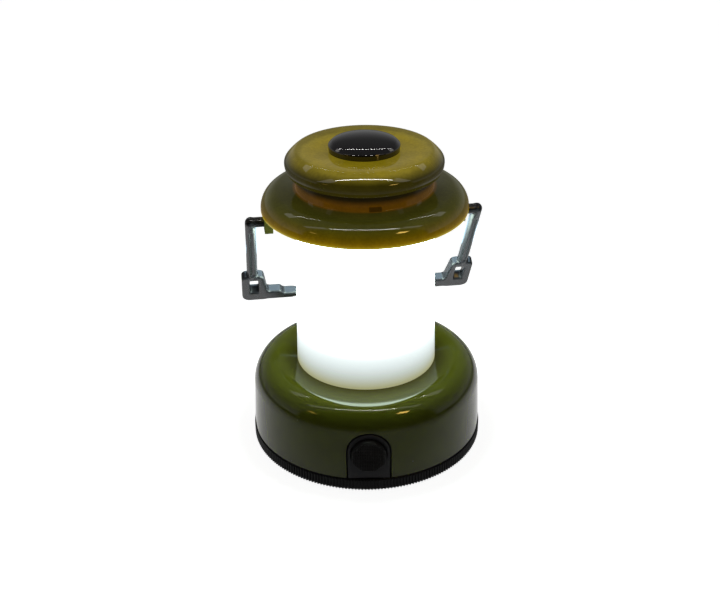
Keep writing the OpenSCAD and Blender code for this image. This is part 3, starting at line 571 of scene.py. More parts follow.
class LANTERN_OT_base(LanternOperator, bpy.types.Operator):
    """Makes the olive base with its rounded rim, its dish and the opening for the switch"""

    bl_idname = "lantern.base"
    bl_label = "Base"

    def execute(self, context):
        s = context.scene.lantern_sizes
        rim_turn = 95
        spigot_gap = 0.3 * MM
        spigot_height = 5 * MM
        spigot_wall = 1.8 * MM
        wire_hole = 4 * MM
        rim_middle = s.wall_radius - s.wall_draft - s.rim_width
        rim = arc(rim_middle, s.wall_top, s.rim_width, s.rim_height, 0, rim_turn, 56)
        ceiling = s.seat - s.base_top
        inner = (s.rim_width - s.shell, s.rim_height - s.shell)
        inner_turn = math.degrees(math.asin((ceiling - s.wall_top) / inner[1]))
        inner_foot = (s.wall_radius - s.shell, s.wall_foot)
        spigot = s.globe_foot - s.globe_wall - spigot_gap
        profile = fillet(inner_foot, (s.wall_radius, s.wall_foot), rim[0], EDGE) + rim
        profile += [
            (s.globe_foot + FIT, s.seat), (spigot, s.seat), (spigot, s.seat + spigot_height),
            (spigot - spigot_wall, s.seat + spigot_height), (spigot - spigot_wall, s.seat),
            (wire_hole, s.seat), (wire_hole, ceiling)]
        profile += arc(rim_middle, s.wall_top, *inner, inner_turn, 0, 12) + [inner_foot]
        base = lathe("green_base", profile)
        # The cut for the switch passes through the wall and a little below its foot
        cut_depth = 10 * MM
        cut_middle = s.wall_radius - 2 * MM
        cut_below = 0.5 * MM
        foot = s.button_height - s.wall_foot + cut_below
        opening = arch(s, s.bezel_width / 2 + s.bezel_gap, foot, 40)
        place = Matrix.Rotation(s.base_turn, 4, "Z") @ shift(0, -cut_middle, s.button_height)
        combine(base, prism("arch_cut", opening, cut_depth, place @ TIP_X), "DIFFERENCE")
        # A deep olive with sharp reflections
        material, *_ = glossy_olive("Glossy olive ABS", context.scene.lantern_colours.olive)
        seat_on(base, "lantern", "base_shell", material, GLOSSY_SHARP)
        return {"FINISHED"}


class LANTERN_OT_cover(LanternOperator, bpy.types.Operator):
    """Makes the battery cover with its ring of fine upright ribs"""

    bl_idname = "lantern.cover"
    bl_label = "Battery cover"

    def execute(self, context):
        s = context.scene.lantern_sizes
        recess_in = 13.9 * MM
        recess_out = 33.9 * MM
        recess = 0.6 * MM
        soft = 0.2 * MM
        ring_foot = 0.15 * MM
        floor = 2 * MM
        tub = 38.3 * MM
        tub_corner = 0.5 * MM
        core = s.ring_diameter / 2 - s.rib_depth
        cover = lathe("ribbed_cover", outline(
            (0, 0), (recess_in, 0, soft), (recess_in, recess, soft), (recess_out, recess, soft),
            (recess_out, 0, soft), (core, 0, ring_foot), (core, s.ring_height, EDGE),
            (tub, s.ring_height, EDGE), (tub, floor, tub_corner), (0, floor)))
        # A bayonet tab is an upright wall and the lug on it: radii and heights in millimetres
        tab = ((38.75, 40.35, 4.0, 11.0), (39.9, 41.86, 9.0, 11.0))
        half_tab = 11
        for middle in (-44, 76, 196):
            turn = middle + math.degrees(s.base_turn)
            first, last = turn - half_tab, turn + half_tab
            for near, far, bottom, top in tab:
                sector = arc(0, 0, far * MM, far * MM, first, last, 12)
                sector += arc(0, 0, near * MM, near * MM, last, first, 12)
                place = shift(0, 0, (bottom + top) / 2 * MM)
                combine(cover, prism("bayonet", sector, (top - bottom) * MM, place), "UNION")
        # Black polypropylene with a satin mould finish: soft grey light on each rib
        material, *_ = surface(
            "Satin black polypropylene", context.scene.lantern_colours.black,
            roughness=0.42, grain=0.35, height=0.012, IOR=1.49, Specular_IOR_Level=0.25)
        # The ribs end a little below the ring's upper edge
        rib_gap = 0.3 * MM
        rib_drop = 0.12 * MM
        with_nodes(cover, rib_tree(), {
            "Radius": s.ring_diameter / 2 - s.rib_width / 2, "Width": s.rib_width,
            "Height": s.ring_height - rib_gap, "Middle": s.ring_height / 2 - rib_drop,
            "Count": s.rib_count, "Material": material})
        seat_on(cover, "cover", "battery_cover", material)
        return {"FINISHED"}


class LANTERN_OT_switch(LanternOperator, bpy.types.Operator):
    """Makes the arch-shaped bezel and the waffled rubber button"""

    bl_idname = "lantern.switch"
    bl_label = "Switch"

    def execute(self, context):
        s = context.scene.lantern_sizes
        c = context.scene.lantern_colours
        toward = Matrix.Rotation(s.base_turn, 4, "Z") @ shift(0, 0, s.button_height) @ TIP_X
        # Faces of the bezel and of the flange behind the wall, measured outwards from the axis
        set_back = 0.3 * MM
        plate = 3.34 * MM
        flange_wall = 1.6 * MM
        slope = (s.button_height - s.wall_foot) / (s.wall_top - s.wall_foot)
        face = s.wall_radius - s.wall_draft * slope - set_back
        front = face - plate
        flange = front - flange_wall
        bezel = self.bezel(s, toward, face, front, flange)
        # ABS with a fine spark-eroded texture: a flat charcoal without clear reflections
        material, *_ = surface(
            "Textured black ABS", c.bezel, roughness=0.5, grain=0.25, height=0.015, IOR=1.52)
        seat_on(bezel, "lantern", "switch_bezel", material)
        # Black silicone rubber: matt, with a waffle that catches small points of light
        material, *_ = surface(
            "Black silicone rubber", c.rubber, roughness=0.55, grain=0.2, height=0.01, IOR=1.43)
        button = self.button(s, toward, face, flange, material)
        seat_on(button, "button", "switch_button", material)
        return {"FINISHED"}

    def bezel(self, s, toward, face, front, flange):
        """An arch-shaped plate with a wider flange behind it and a round hole."""
        flange_rim = 2.6 * MM
        hole_gap = 0.3 * MM
        foot = s.button_height - s.wall_foot
        half = s.bezel_width / 2
        layers = []
        for wide, outer in ((half, face), (half + flange_rim, front)):
            place = toward @ shift(0, 0, (flange + outer) / 2)
            layers.append(prism("button_bezel", arch(s, wide, foot, 48), outer - flange, place))
        bezel, behind = layers
        combine(bezel, behind, "UNION")
        hole = ring_points(s.button_diameter / 2 + hole_gap, 96)
        through = 4 * (face - flange)
        combine(bezel, prism("button_hole", hole, through, toward @ shift(0, 0, face)), "DIFFERENCE")
        return round_edges(bezel, radius=0.25 * MM, segments=3)

    def button(self, s, toward, face, flange, material):
        """A crowned round button with a rounded edge and a waffle of small pads."""
        crown = 0.5 * MM
        out = 2.5 * MM
        edge_in = 0.1 * MM
        edge_drop = 0.12 * MM
        edge_depth = 0.5 * MM
        pad_margin = 0.25 * MM
        pad_rise = 0.12 * MM
        radius = s.button_diameter / 2
        proud = face + out
        skirt = flange - proud
        dome = [(0, 0)] + [(radius * u, -crown * u * u) for u in np.linspace(0.06, 0.93, 14)]
        dome += [
            (radius - edge_in, -crown * 1.02 - edge_drop), (radius, -crown - edge_depth),
            (radius, skirt), (0, skirt)]
        button = lathe("waffle_button", dome, 128)
        with_nodes(button, pad_tree(), {
            "Radius": radius - pad_margin, "Pitch": s.pad_pitch, "Crown": crown,
            "Count": 2 * int(radius / s.pad_pitch) + 3, "Material": material})
        button.data.transform(toward @ shift(0, 0, proud - pad_rise))
        return button


class LANTERN_OT_globe(LanternOperator, bpy.types.Operator):
    """Makes the lit frosted globe"""

    bl_idname = "lantern.globe"
    bl_label = "Globe"

    def execute(self, context):
        s = context.scene.lantern_sizes
        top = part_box("globe")[1].z
        soft = 0.4 * MM
        globe = lathe("frosted_globe", outline(
            (s.globe_foot, s.seat, soft), (s.globe_top, top, soft),
            (s.globe_top - s.globe_wall, top, soft), (s.globe_foot - s.globe_wall, s.seat, soft)))
        # Polycarbonate frosted by its mould: it scatters the light inside, and fades below the LEDs
        material, tree, shader, _, place = surface(
            "Frosted polycarbonate", context.scene.lantern_colours.globe,
            roughness=0.5, grain=0.4, height=0.01, IOR=1.58)
        glow(tree, shader, height_share(tree, place, s.seat, top), [
            (0.0, "#333323"), (0.01, "#353525"), (0.068, "#404340"), (0.126, "#4b4f4f"), (0.18, "#545858"),
            (0.23, "#76807a"), (0.28, "#a8b8b0"), (0.35, "#e6fff2")], strength=10.0)
        seat_on(globe, "lantern", "globe", material)
        return {"FINISHED"}


class LANTERN_OT_roof(LanternOperator, bpy.types.Operator):
    """Makes the domed roof with its neck, its stops and the lugs that carry the bail"""

    bl_idname = "lantern.roof"
    bl_label = "Roof"

    def execute(self, context):
        s = context.scene.lantern_sizes
        neck_foot = s.roof_edge + s.roof_rise
        roof = lathe("roof_canopy", self.profile(s, neck_foot))
        self.lugs(s, roof)
        self.stops(s, roof, neck_foot)
        # The base's ABS, with a painted glow for the lamp's light coming through the plastic: bright at its
        # edge, painted shade below the neck
        material, tree, shader, place = glossy_olive(
            "Glossy olive ABS with painted glow", context.scene.lantern_colours.roof_olive)
        # Heights in millimetres of the painted glow: the dim lugs, the bright edge, the fading roof, the
        # amber neck's foot, and painted shade on the neck under the cap
        bottom = 85
        top = 113
        heights = [
            (94.6, "#31350f"), (95.0, "#d8ca6c"), (95.5, "#98841c"), (96.2, "#785e02"), (97.2, "#604a00"),
            (98.8, "#4c3e01"), (101.2, "#3a380a"), (102.6, "#32310a"), (103.4, "#262508"),
            (103.5, "#4c3003"), (105.4, "#4a2e03"), (107.4, "#170e02"), (109.0, "#060401"),
            (113.0, "#040301")]
        share = height_share(tree, place, bottom * MM, top * MM)
        glow(tree, shader, share, [((z - bottom) / (top - bottom), code) for z, code in heights])
        mottle(tree, shader, place, self.painted_glow_share(tree, place, s.neck_radius, neck_foot))
        seat_on(roof, "lantern", "roof", material, GLOSSY_SHARP)
        return {"FINISHED"}

    def profile(self, s, neck_foot):
        """Half the section of the roof, its neck and the socket that takes the globe."""
        plate = 2 * MM
        plate_hole = 20 * MM
        neck_round = 0.25 * MM
        socket_gap = 0.5 * MM
        socket_wall = 1.5 * MM
        socket_depth = 6 * MM
        globe_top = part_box("globe")[1].z
        socket = s.globe_top + socket_gap
        edge_middle = s.roof_radius - s.edge_width
        edge_start = s.roof_edge + s.edge_lip
        # The rounded edge ends where its tangent meets the neck's foot
        way = ((s.neck_radius - edge_middle) / s.edge_width, (neck_foot - edge_start) / s.edge_height)
        turn = math.degrees(math.atan2(way[1], way[0]) - math.acos(1 / math.hypot(*way)))
        outer = arc(edge_middle, edge_start, s.edge_width, s.edge_height, 0, turn, 40)
        under = arc(edge_middle, edge_start, s.edge_width - s.shell, s.edge_height - s.shell, turn, 0, 20)
        inner_foot = (s.roof_radius - s.shell, s.roof_edge)
        outer_foot = (s.roof_radius, s.roof_edge)
        points = fillet(inner_foot, outer_foot, outer[0], EDGE) + outer
        points += fillet(outer[-1], (s.neck_radius, neck_foot), (s.neck_radius, s.neck_top), neck_round)
        points += [
            (s.neck_radius, s.neck_top), (s.neck_radius - NECK_WALL, s.neck_top),
            (s.neck_radius - NECK_WALL, globe_top + plate), (plate_hole, globe_top + plate),
            (plate_hole, globe_top), (socket, globe_top), (socket, globe_top - socket_depth),
            (socket + socket_wall, globe_top - socket_depth), (socket + socket_wall, neck_foot - s.shell)]
        return points + under + fillet(under[-1], inner_foot, outer_foot, EDGE)

    def lugs(self, s, roof):
        """Adds the two lugs and drills them for the bail's pins."""
        thick = 3.1 * MM
        half = 3.5 * MM
        rise = 6.5 * MM
        soft = 1 * MM
        set_in = 0.9 * MM
        bore_radius = 1.98 * MM
        bore_length = 90 * MM
        lug = outline((-half, rise), (-half, -s.lug_drop, soft), (half, -s.lug_drop, soft), (half, rise))
        for side in (-1, 1):
            place = shift(side * (s.roof_radius - set_in - thick / 2), 0, s.pivot) @ TIP_Z @ TIP_X
            combine(roof, prism("lug", lug, thick, place), "UNION")
        bore = prism("bore", ring_points(bore_radius, 48), bore_length, shift(0, 0, s.pivot) @ TIP_Y)
        combine(roof, bore, "DIFFERENCE")

    def stops(self, s, roof, neck_foot):
        """Adds the two small stops at the neck's foot."""
        sink = 0.4 * MM
        soft = 0.2 * MM
        thick = 1.8 * MM
        set_in = 0.1 * MM
        half = s.stop_width / 2
        stop = outline(
            (-half, -sink), (half, -sink), (half, s.stop_height, soft), (-half, s.stop_height, soft))
        for degrees in (0.4, 180.4):
            place = Matrix.Rotation(math.radians(degrees), 4, "Z")
            place = place @ shift(0, set_in - s.neck_radius, neck_foot) @ TIP_X
            combine(roof, prism("stop", stop, thick, place), "UNION")

    def painted_glow_share(self, tree, place, neck_radius, neck_foot):
        """How much painted glow the roof shows: 1, but less in the thick stops outside the neck."""
        margin = 0.1 * MM
        parts = add(tree, "ShaderNodeSeparateXYZ", {"Vector": place}).outputs
        flat = add(tree, "ShaderNodeCombineXYZ", {"X": parts["X"], "Y": parts["Y"]})
        away = add(tree, "ShaderNodeVectorMath", {0: flat.outputs[0]}, operation="LENGTH")
        outside = add(tree, "ShaderNodeMath", {
            0: away.outputs["Value"], 1: neck_radius + margin}, operation="GREATER_THAN")
        above = add(tree, "ShaderNodeMath", {0: parts["Z"], 1: neck_foot + margin}, operation="GREATER_THAN")
        thick = add(tree, "ShaderNodeMath", {
            0: outside.outputs[0], 1: above.outputs[0]}, operation="MULTIPLY")
        return add(tree, "ShaderNodeMapRange", {
            "Value": thick.outputs[0], "To Min": 1.0, "To Max": 0.35}).outputs[0]


class LANTERN_OT_cap(LanternOperator, bpy.types.Operator):
    """Makes the cap with its painted glow and the polished black finial on it"""

    bl_idname = "lantern.cap"
    bl_label = "Cap and finial"

    def execute(self, context):
        s = context.scene.lantern_sizes
        c = context.scene.lantern_colours
        sink = 0.6 * MM
        stem = 3.5 * MM
        finial_seat = s.cap_top - s.dish_depth - sink
        cap = lathe("top_cap", self.profile(s, finial_seat, stem + FIT))
        # The cap's ABS has a painted amber glow on top, where it is thinnest, and painted shade on its thick
        # rounded edge
        material, tree, shader, place = glossy_olive("Glossy olive ABS with painted amber glow", c.roof_olive)
        self.amber(tree, shader, place, s.cap_radius)
        seat_on(cap, "lantern", "cap", material, GLOSSY_SHARP)

        crown_in = 0.3 * MM
        foot_in = 0.2 * MM
        soft = 0.8 * MM
        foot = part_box("finial")[0].z
        crown = arc(0, s.finial_lip, s.finial_radius - crown_in, s.finial_top - s.finial_lip, 0, 90, 36)
        profile = [(0, foot), (stem, foot), (stem, finial_seat), (s.finial_radius - foot_in, finial_seat)]
        # The rounded lip takes the place of the crown's first points
        lip = (s.finial_radius, s.finial_lip)
        profile += fillet((s.finial_radius, finial_seat), lip, crown[6], soft, 9) + crown[9:]
        finial = lathe("black_finial", profile, 192)
        # Polished black ABS: near black, with clear highlights
        material, *_ = surface(
            "Polished black ABS", c.finial, roughness=0.05, grain=1.2, height=0.0006, IOR=1.9)
        seat_on(finial, "lantern", "finial", material)
        return {"FINISHED"}

    def profile(self, s, finial_seat, stem_hole):
        """Half the section of the cap, from its lip over its top to the spigot in the neck."""
        lip_in = 0.9 * MM
        lip_wall = 1.4 * MM
        spigot_wall = 1.4 * MM
        spigot_depth = 2 * MM
        belly_wall = 2 * MM
        top_wall = 2 * MM
        ceiling = finial_seat - top_wall
        spigot = s.neck_radius - NECK_WALL - FIT
        lip = s.cap_radius - lip_in
        shoulder = s.cap_radius - s.cap_shoulder
        lip_turn = math.acos(1 - lip_in / s.cap_shoulder)
        # Three arcs that meet without a kink: the shoulder, the gently curved slope and the brow
        slope_start = 38
        slope_end = 52
        first, last = math.radians(slope_start), math.radians(slope_end)
        rise = s.cap_top - s.cap_brow * (1 - math.sin(last)) - s.cap_belly - s.cap_shoulder * math.sin(first)
        curve = rise / (math.sin(last) - math.sin(first))
        reach = s.cap_shoulder - curve
        slope = (shoulder + reach * math.cos(first), s.cap_belly + reach * math.sin(first))
        brow = slope[0] + (curve - s.cap_brow) * math.cos(last)
        under = arc(
            shoulder, s.cap_belly, s.cap_shoulder, (s.cap_belly - s.cap_lip) / math.sin(lip_turn),
            -math.degrees(lip_turn), 0, 16)
        points = fillet((lip - lip_wall, s.cap_lip), under[0], under[2], EDGE) + under[2:-1]
        points += arc(shoulder, s.cap_belly, s.cap_shoulder, s.cap_shoulder, 0, slope_start, 12)[:-1]
        points += arc(*slope, curve, curve, slope_start, slope_end, 16)[:-1]
        points += arc(brow, s.cap_top - s.cap_brow, s.cap_brow, s.cap_brow, slope_end, 90, 14)
        # The shallow dish falls in a soft wave to the finial
        hole = s.finial_radius + FIT
        steps = 16
        for i in range(1, steps + 1):
            u = i / steps
            drop = s.dish_depth * (1 - math.cos(math.pi * u)) / 2
            points.append((brow + (hole - brow) * u, s.cap_top - drop))
        return points + [
            (hole, finial_seat), (stem_hole, finial_seat), (stem_hole, ceiling),
            (spigot - spigot_wall, ceiling), (spigot - spigot_wall, s.neck_top - spigot_depth),
            (spigot, s.neck_top - spigot_depth), (spigot, s.neck_top),
            (s.cap_radius - belly_wall, s.neck_top), (lip - lip_wall, s.cap_lip)]

    def amber(self, tree, shader, place, cap_radius):
        """Painted glow, as from a light a little to the front, its edge bent by flow marks some 12 mm apart.
        """
        flow_size = 12 * MM
        bend = 1.2 * MM
        to_front = 4 * MM
        bright = 12 * MM
        flow = add(tree, "ShaderNodeTexNoise", {
            "Vector": place, "Scale": 1 / flow_size, "Detail": 3.0, "Distortion": 1.5})
        swirl = add(tree, "ShaderNodeMapRange", {
            "Value": flow.outputs["Fac"], "To Min": -bend, "To Max": bend})
        parts = add(tree, "ShaderNodeSeparateXYZ", {"Vector": place}).outputs
        forward = add(tree, "ShaderNodeMath", {0: parts["Y"], 1: to_front}, operation="ADD")
        flat = add(tree, "ShaderNodeCombineXYZ", {"X": parts["X"], "Y": forward.outputs[0]})
        away = add(tree, "ShaderNodeVectorMath", {0: flat.outputs[0]}, operation="LENGTH")
        bent = add(tree, "ShaderNodeMath", {0: away.outputs["Value"], 1: swirl.outputs[0]}, operation="ADD")
        share = add(tree, "ShaderNodeMapRange", {
            "Value": bent.outputs[0], "From Min": bright, "From Max": cap_radius}).outputs[0]
        glow(tree, shader, share, [
            (0.0, "#6e600c"), (0.45, "#7e6e10"), (0.62, "#7a6c1c"), (0.72, "#685c14"), (0.85, "#665a14"),
            (1.0, "#5c5414")])
        # Painted shade: the glow dims down the cap's rounded edge, to 0.17 at its lower end
        painted_edge_shade = add(tree, "ShaderNodeMapRange", {
            "Value": parts["Z"], "From Min": 114.2 * MM, "From Max": 116.7 * MM,
            "To Min": 0.17, "To Max": 1.0})
        mottle(tree, shader, place, painted_edge_shade.outputs[0])


class LANTERN_OT_bail(LanternOperator, bpy.types.Operator):
    """Makes the bail: two pinned rods, corner webs with windows, and the grip bar"""

    bl_idname = "lantern.bail"
    bl_label = "Bail"

    def execute(self, context):
        s = context.scene.lantern_sizes
        web_past = 4.3 * MM
        bar_rise = 0.3 * MM
        grip_length = 8.3 * MM
        overlap = 2 * MM
        web_out = s.rod_place + web_past
        web_in = web_out - s.web_width
        bar_out = s.rod_length + s.web_length - bar_rise
        bar_in = bar_out - s.bar_height
        grip_end = web_in - grip_length
        parts = []
        for side in (-1, 1):
            parts.append(self.web(s, side, web_out, web_in, bar_out, bar_in, grip_end))
            parts += self.rod(s, side)
        reach = grip_end - overlap
        bar = outline((-reach, -bar_in), (reach, -bar_in), (reach, -bar_out), (-reach, -bar_out))
        piece = prism("bar", bar, s.bar_thickness, TIP_X)
        parts.append(round_edges(piece, radius=1.0 * MM, segments=5))
        bail = merge("bail_handle", parts)
        # The parts melt into one moulding with soft inner corners
        weld = bail.modifiers.new("Weld", "REMESH")
        weld.mode = "VOXEL"
        weld.voxel_size = 0.24 * MM
        soft = bail.modifiers.new("Soft edges", "SMOOTH")
        soft.factor = 0.5
        soft.iterations = 10
        baked(bail)
        bail.data.transform(shift(0, 0, s.pivot) @ Matrix.Rotation(s.bail_lean, 4, "X"))
        # Glass-filled black nylon with a satin mould finish: grey faces, soft bluish lights along its edges
        material, *_ = surface(
            "Satin black nylon", context.scene.lantern_colours.nylon,
            roughness=0.26, grain=0.5, height=0.008, IOR=1.58)
        seat_on(bail, "bail", "bail", material, BAIL_SHARP)
        return {"FINISHED"}

    def web(self, s, side, web_out, web_in, bar_out, bar_in, grip_end):
        """A corner web with its window and the thick end of the grip."""
        grip = bar_in - 2.2 * MM
        grip_in = web_in - 1.6 * MM
        grip_top = grip_end + 1.5 * MM
        bar_end = grip_end - 4 * MM
        web_foot = s.rod_length + s.web_length
        web = outline(
            (side * web_out, -s.rod_length, 2 * MM), (side * web_in, -s.rod_length, 2 * MM),
            (side * grip_in, -grip, 1.2 * MM), (side * grip_top, -grip, 1 * MM),
            (side * grip_end, -bar_in, 0.6 * MM), (side * bar_end, -bar_in), (side * bar_end, -bar_out),
            (side * grip_in, -bar_out), (side * web_in, -web_foot), (side * web_out, -web_foot, 3 * MM))
        piece = prism("web", web, s.web_thickness, TIP_X)
        # The window's foot rises towards the back, so its outline lies across the web
        window_half = 4 * MM
        window_top = 4.7 * MM
        front_foot = 5.5 * MM
        back_foot = 2.5 * MM
        window_wide = 3.4 * MM
        across = s.rod_place - 0.6 * MM
        down = s.rod_length + 7.7 * MM
        window = [
            (-window_half, window_top), (-window_half, -front_foot), (window_half, -back_foot),
            (window_half, window_top)]
        place = shift(side * across, 0, -down) @ TIP_Z @ TIP_X
        combine(piece, prism("window", window, window_wide, place), "DIFFERENCE")
        return round_edges(piece, radius=0.9 * MM, segments=5)

    def rod(self, s, side):
        """A grooved rod, its pivot pin and the pin's head."""
        radius = s.rod_diameter / 2
        ends = arc(0, -s.rod_length, radius, radius, -90, 0, 10) + arc(0, 0, radius, radius, 0, 90, 10)
        rod = lathe("rod", ends, 48)
        groove_half = 0.8 * MM
        groove_round = 0.79 * MM
        groove_cut = 1.1 * MM
        groove_foot = -s.rod_length + 1 * MM
        groove_top = -4.5 * MM
        groove = outline(
            (-groove_half, groove_foot, groove_round), (groove_half, groove_foot, groove_round),
            (groove_half, groove_top, groove_round), (-groove_half, groove_top, groove_round))
        combine(rod, prism("slot", groove, groove_cut, shift(0, -radius, 0) @ TIP_X), "DIFFERENCE")
        rod.data.transform(shift(side * s.rod_place, 0, 0))
        # The pin runs from the rod through the lug, and its head stands just inside the lug
        lug_inside = 4 * MM
        pin_radius = 1.9 * MM
        head_radius = 2.35 * MM
        head = 0.9 * MM
        pin_in = s.roof_radius - lug_inside - FIT
        pin_length = s.rod_place - pin_in
        pins = [
            ("pin", pin_radius, pin_length, pin_in + pin_length / 2),
            ("pin_head", head_radius, head, pin_in - head / 2)]
        return [rod] + [
            prism(name, ring_points(size, 40), long, shift(side * middle, 0, 0) @ TIP_Y)
            for name, size, long, middle in pins]


class LANTERN_OT_inside(LanternOperator, bpy.types.Operator):
    """Gives the pieces inside the lantern their materials"""

    bl_idname = "lantern.inside"
    bl_label = "Pieces inside"

    def execute(self, context):
        # Each finish: name, colour, roughness, grain and its height in millimetres
        plastics = {
            "tray_plastic": ("Black ABS", "#1d1d20", 0.4, 0.6, 0.01),
            "white_plastic": ("White ABS", "#e6e4dc", 0.35, 0.8, 0.008),
            "circuit_board": ("Green solder mask on glass epoxy", "#1f5a35", 0.3, 0.5, 0.006),
            "white_board": ("White solder mask on aluminium", "#e8ebe6", 0.3, 0.5, 0.006),
            "led_resin": ("Yellow phosphor resin", "#f0d879", 0.25, 0.4, 0.006),
            "cell_jacket": ("Printed shrink jacket", "#b88d3f", 0.28, 1.2, 0.004),
            "red_wire": ("Red PVC insulation", "#a81c24", 0.38, 0.4, 0.006),
            "yellow_wire": ("Yellow PVC insulation", "#cfa832", 0.38, 0.4, 0.006),
            "black_wire": ("Black PVC insulation", "#161618", 0.38, 0.4, 0.006),
        }
        metals = {
            "contact_steel": ("Nickel-plated steel", "#c9c6bd", 0.22, 0.5, 0.003),
            "screw_steel": ("Zinc-plated steel", "#bfc0c2", 0.3, 0.3, 0.004),
        }
        made = {}
        for finishes, metallic in ((plastics, 0.0), (metals, 1.0)):
            for slot, (name, code, *grain) in finishes.items():
                made[slot] = surface(name, linear(code), *grain, Metallic=metallic)[0]
        for part in frame["record"]["subparts"]:
            node = frame["nodes"][part["node"]]
            if part["material_slot"] in made:
                node.data.materials.clear()
                node.data.materials.append(made[part["material_slot"]])
        return {"FINISHED"}


class LANTERN_OT_stage(LanternOperator, bpy.types.Operator):
    """Makes the floor, the studio light and the camera"""

    bl_idname = "lantern.stage"
    bl_label = "Stage"

    def execute(self, context):
        g = context.scene.lantern_stage
        turn = Matrix.Rotation(-g.turn, 4, "Z")
        facing = tuple(turn @ Vector((0, -1, 0)))
        self.floor(facing)
        self.world(context, g, facing)
        self.strips(g, turn)
        self.camera(context, g, turn)
        context.scene.view_settings.view_transform = "Standard"
        return {"FINISHED"}

    def direct(self, tree):
        """Light Path's outputs, and 1 for what the camera sees, also through clear pieces."""
        ray = add(tree, "ShaderNodeLightPath").outputs
        seen = add(tree, "ShaderNodeMath", {
            0: ray["Is Camera Ray"], 1: ray["Is Transmission Ray"]}, operation="ADD", use_clamp=True)
        return ray, seen.outputs[0]

    def floor(self, facing):
        """White paper that keeps the lantern's shadow."""
        reach = 3.0
        corners = [(x, y, 0) for x, y in self.box(-reach, reach, -reach, reach)]
        floor = make("floor", corners, [[0, 1, 2, 3]])
        material = bpy.data.materials.new("White paper floor")
        tree = empty_tree(material)
        paper = add(tree, "ShaderNodeBsdfDiffuse", {"Color": (0.8, 0.8, 0.8, 1)})
        lit = add(tree, "ShaderNodeEmission", {"Color": WHITE, "Strength": 0.9})
        white = add(tree, "ShaderNodeAddShader", {0: paper.outputs[0], 1: lit.outputs[0]})
        # The camera sees white paper, and gloss sees it grow dim towards the dark opening and far away
        place = add(tree, "ShaderNodeTexCoord").outputs["Object"]
        ahead = add(tree, "ShaderNodeVectorMath", {0: place, 1: facing}, operation="DOT_PRODUCT")
        dim = add(tree, "ShaderNodeMapRange", {
            "Value": ahead.outputs["Value"], "From Min": -0.02, "From Max": 0.06,
            "To Min": 0.8, "To Max": 0.2})
        away = add(tree, "ShaderNodeVectorMath", {0: place}, operation="LENGTH")
        far = add(tree, "ShaderNodeMapRange", {
            "Value": away.outputs["Value"], "From Min": 0.1, "From Max": 0.24, "To Min": 1.0, "To Max": 0.15})
        shown = add(tree, "ShaderNodeMath", {0: dim.outputs[0], 1: far.outputs[0]}, operation="MULTIPLY")
        mirrored = add(tree, "ShaderNodeEmission", {"Color": WHITE, "Strength": shown.outputs[0]})
        ray, seen = self.direct(tree)
        gloss = add(tree, "ShaderNodeMixShader", {
            0: ray["Is Glossy Ray"], 1: paper.outputs[0], 2: mirrored.outputs[0]})
        mixed = add(tree, "ShaderNodeMixShader", {0: seen, 1: gloss.outputs[0], 2: white.outputs[0]})
        add(tree, "ShaderNodeOutputMaterial", {"Surface": mixed.outputs[0]})
        floor.data.materials.append(material)

    def world(self, context, g, facing):
        """A white tent with a dim ceiling, open to a dark room behind the camera."""
        world = bpy.data.worlds.new("White light tent, open towards the camera")
        context.scene.world = world
        tree = empty_tree(world)
        way = add(tree, "ShaderNodeTexCoord").outputs["Generated"]
        front = add(tree, "ShaderNodeVectorMath", {0: way, 1: facing}, operation="DOT_PRODUCT")
        parts = add(tree, "ShaderNodeSeparateXYZ", {"Vector": way})
        tent = add(tree, "ShaderNodeMapRange", {
            "Value": parts.outputs["Z"], "From Min": 0.05, "From Max": 0.5,
            "To Min": g.walls, "To Max": g.ceiling}, interpolation_type="SMOOTHSTEP")
        dark = add(tree, "ShaderNodeMapRange", {
            "Value": front.outputs["Value"], "From Min": 0.3, "From Max": 0.4,
            "To Min": tent.outputs[0], "To Max": g.opening}, interpolation_type="SMOOTHSTEP")
        ray, seen = self.direct(tree)
        # Gloss sees the tent's cloth dimmer than the light that it spreads
        share = add(tree, "ShaderNodeMapRange", {
            "Value": ray["Is Glossy Ray"], "To Min": 1.0, "To Max": g.mirrored})
        cloth = add(tree, "ShaderNodeMath", {0: dark.outputs[0], 1: share.outputs[0]}, operation="MULTIPLY")
        strength = add(tree, "ShaderNodeMix", {0: seen, 2: cloth.outputs[0], 3: 1.0}, data_type="FLOAT")
        back = add(tree, "ShaderNodeBackground", {"Color": WHITE, "Strength": strength.outputs[0]})
        add(tree, "ShaderNodeOutputWorld", {"Surface": back.outputs[0]})

    def strips(self, g, turn):
        """Rows of small lights under the tent's ceiling, soft light at their ends, and two warm lamps."""
        height = 0.239
        bulb = ring_points(1.3 * MM, 8)
        bulbs = 32
        daylight = (1, 0.98, 0.95)
        rows = {
            "front_lights": (-0.082, 0.078, -0.071, g.lights),
            "back_lights": (-0.115, 0.115, 0.062, g.lights / 2)}
        for name, (first, last, depth, strength) in rows.items():
            dots = [[(x + dx, depth + dy) for dx, dy in bulb] for x in np.linspace(first, last, bulbs)]
            self.panel(name, dots, height, turn, daylight, strength)
        ends = [
            self.box(-0.2, -0.09, -0.08, -0.055), self.box(0.086, 0.17, -0.08, -0.055),
            self.box(-0.19, -0.12, 0.04, 0.085), self.box(0.12, 0.19, 0.04, 0.085)]
        self.panel("light_ends", ends, height, turn, daylight, 1.0)
        low_height = 0.07
        fills = [self.box(-0.052, -0.022, 0.012, 0.038), self.box(0.02, 0.052, 0.02, 0.047)]
        fill = self.panel("bail_fills", fills, low_height, turn, (0.6, 0.84, 1), 4.0)
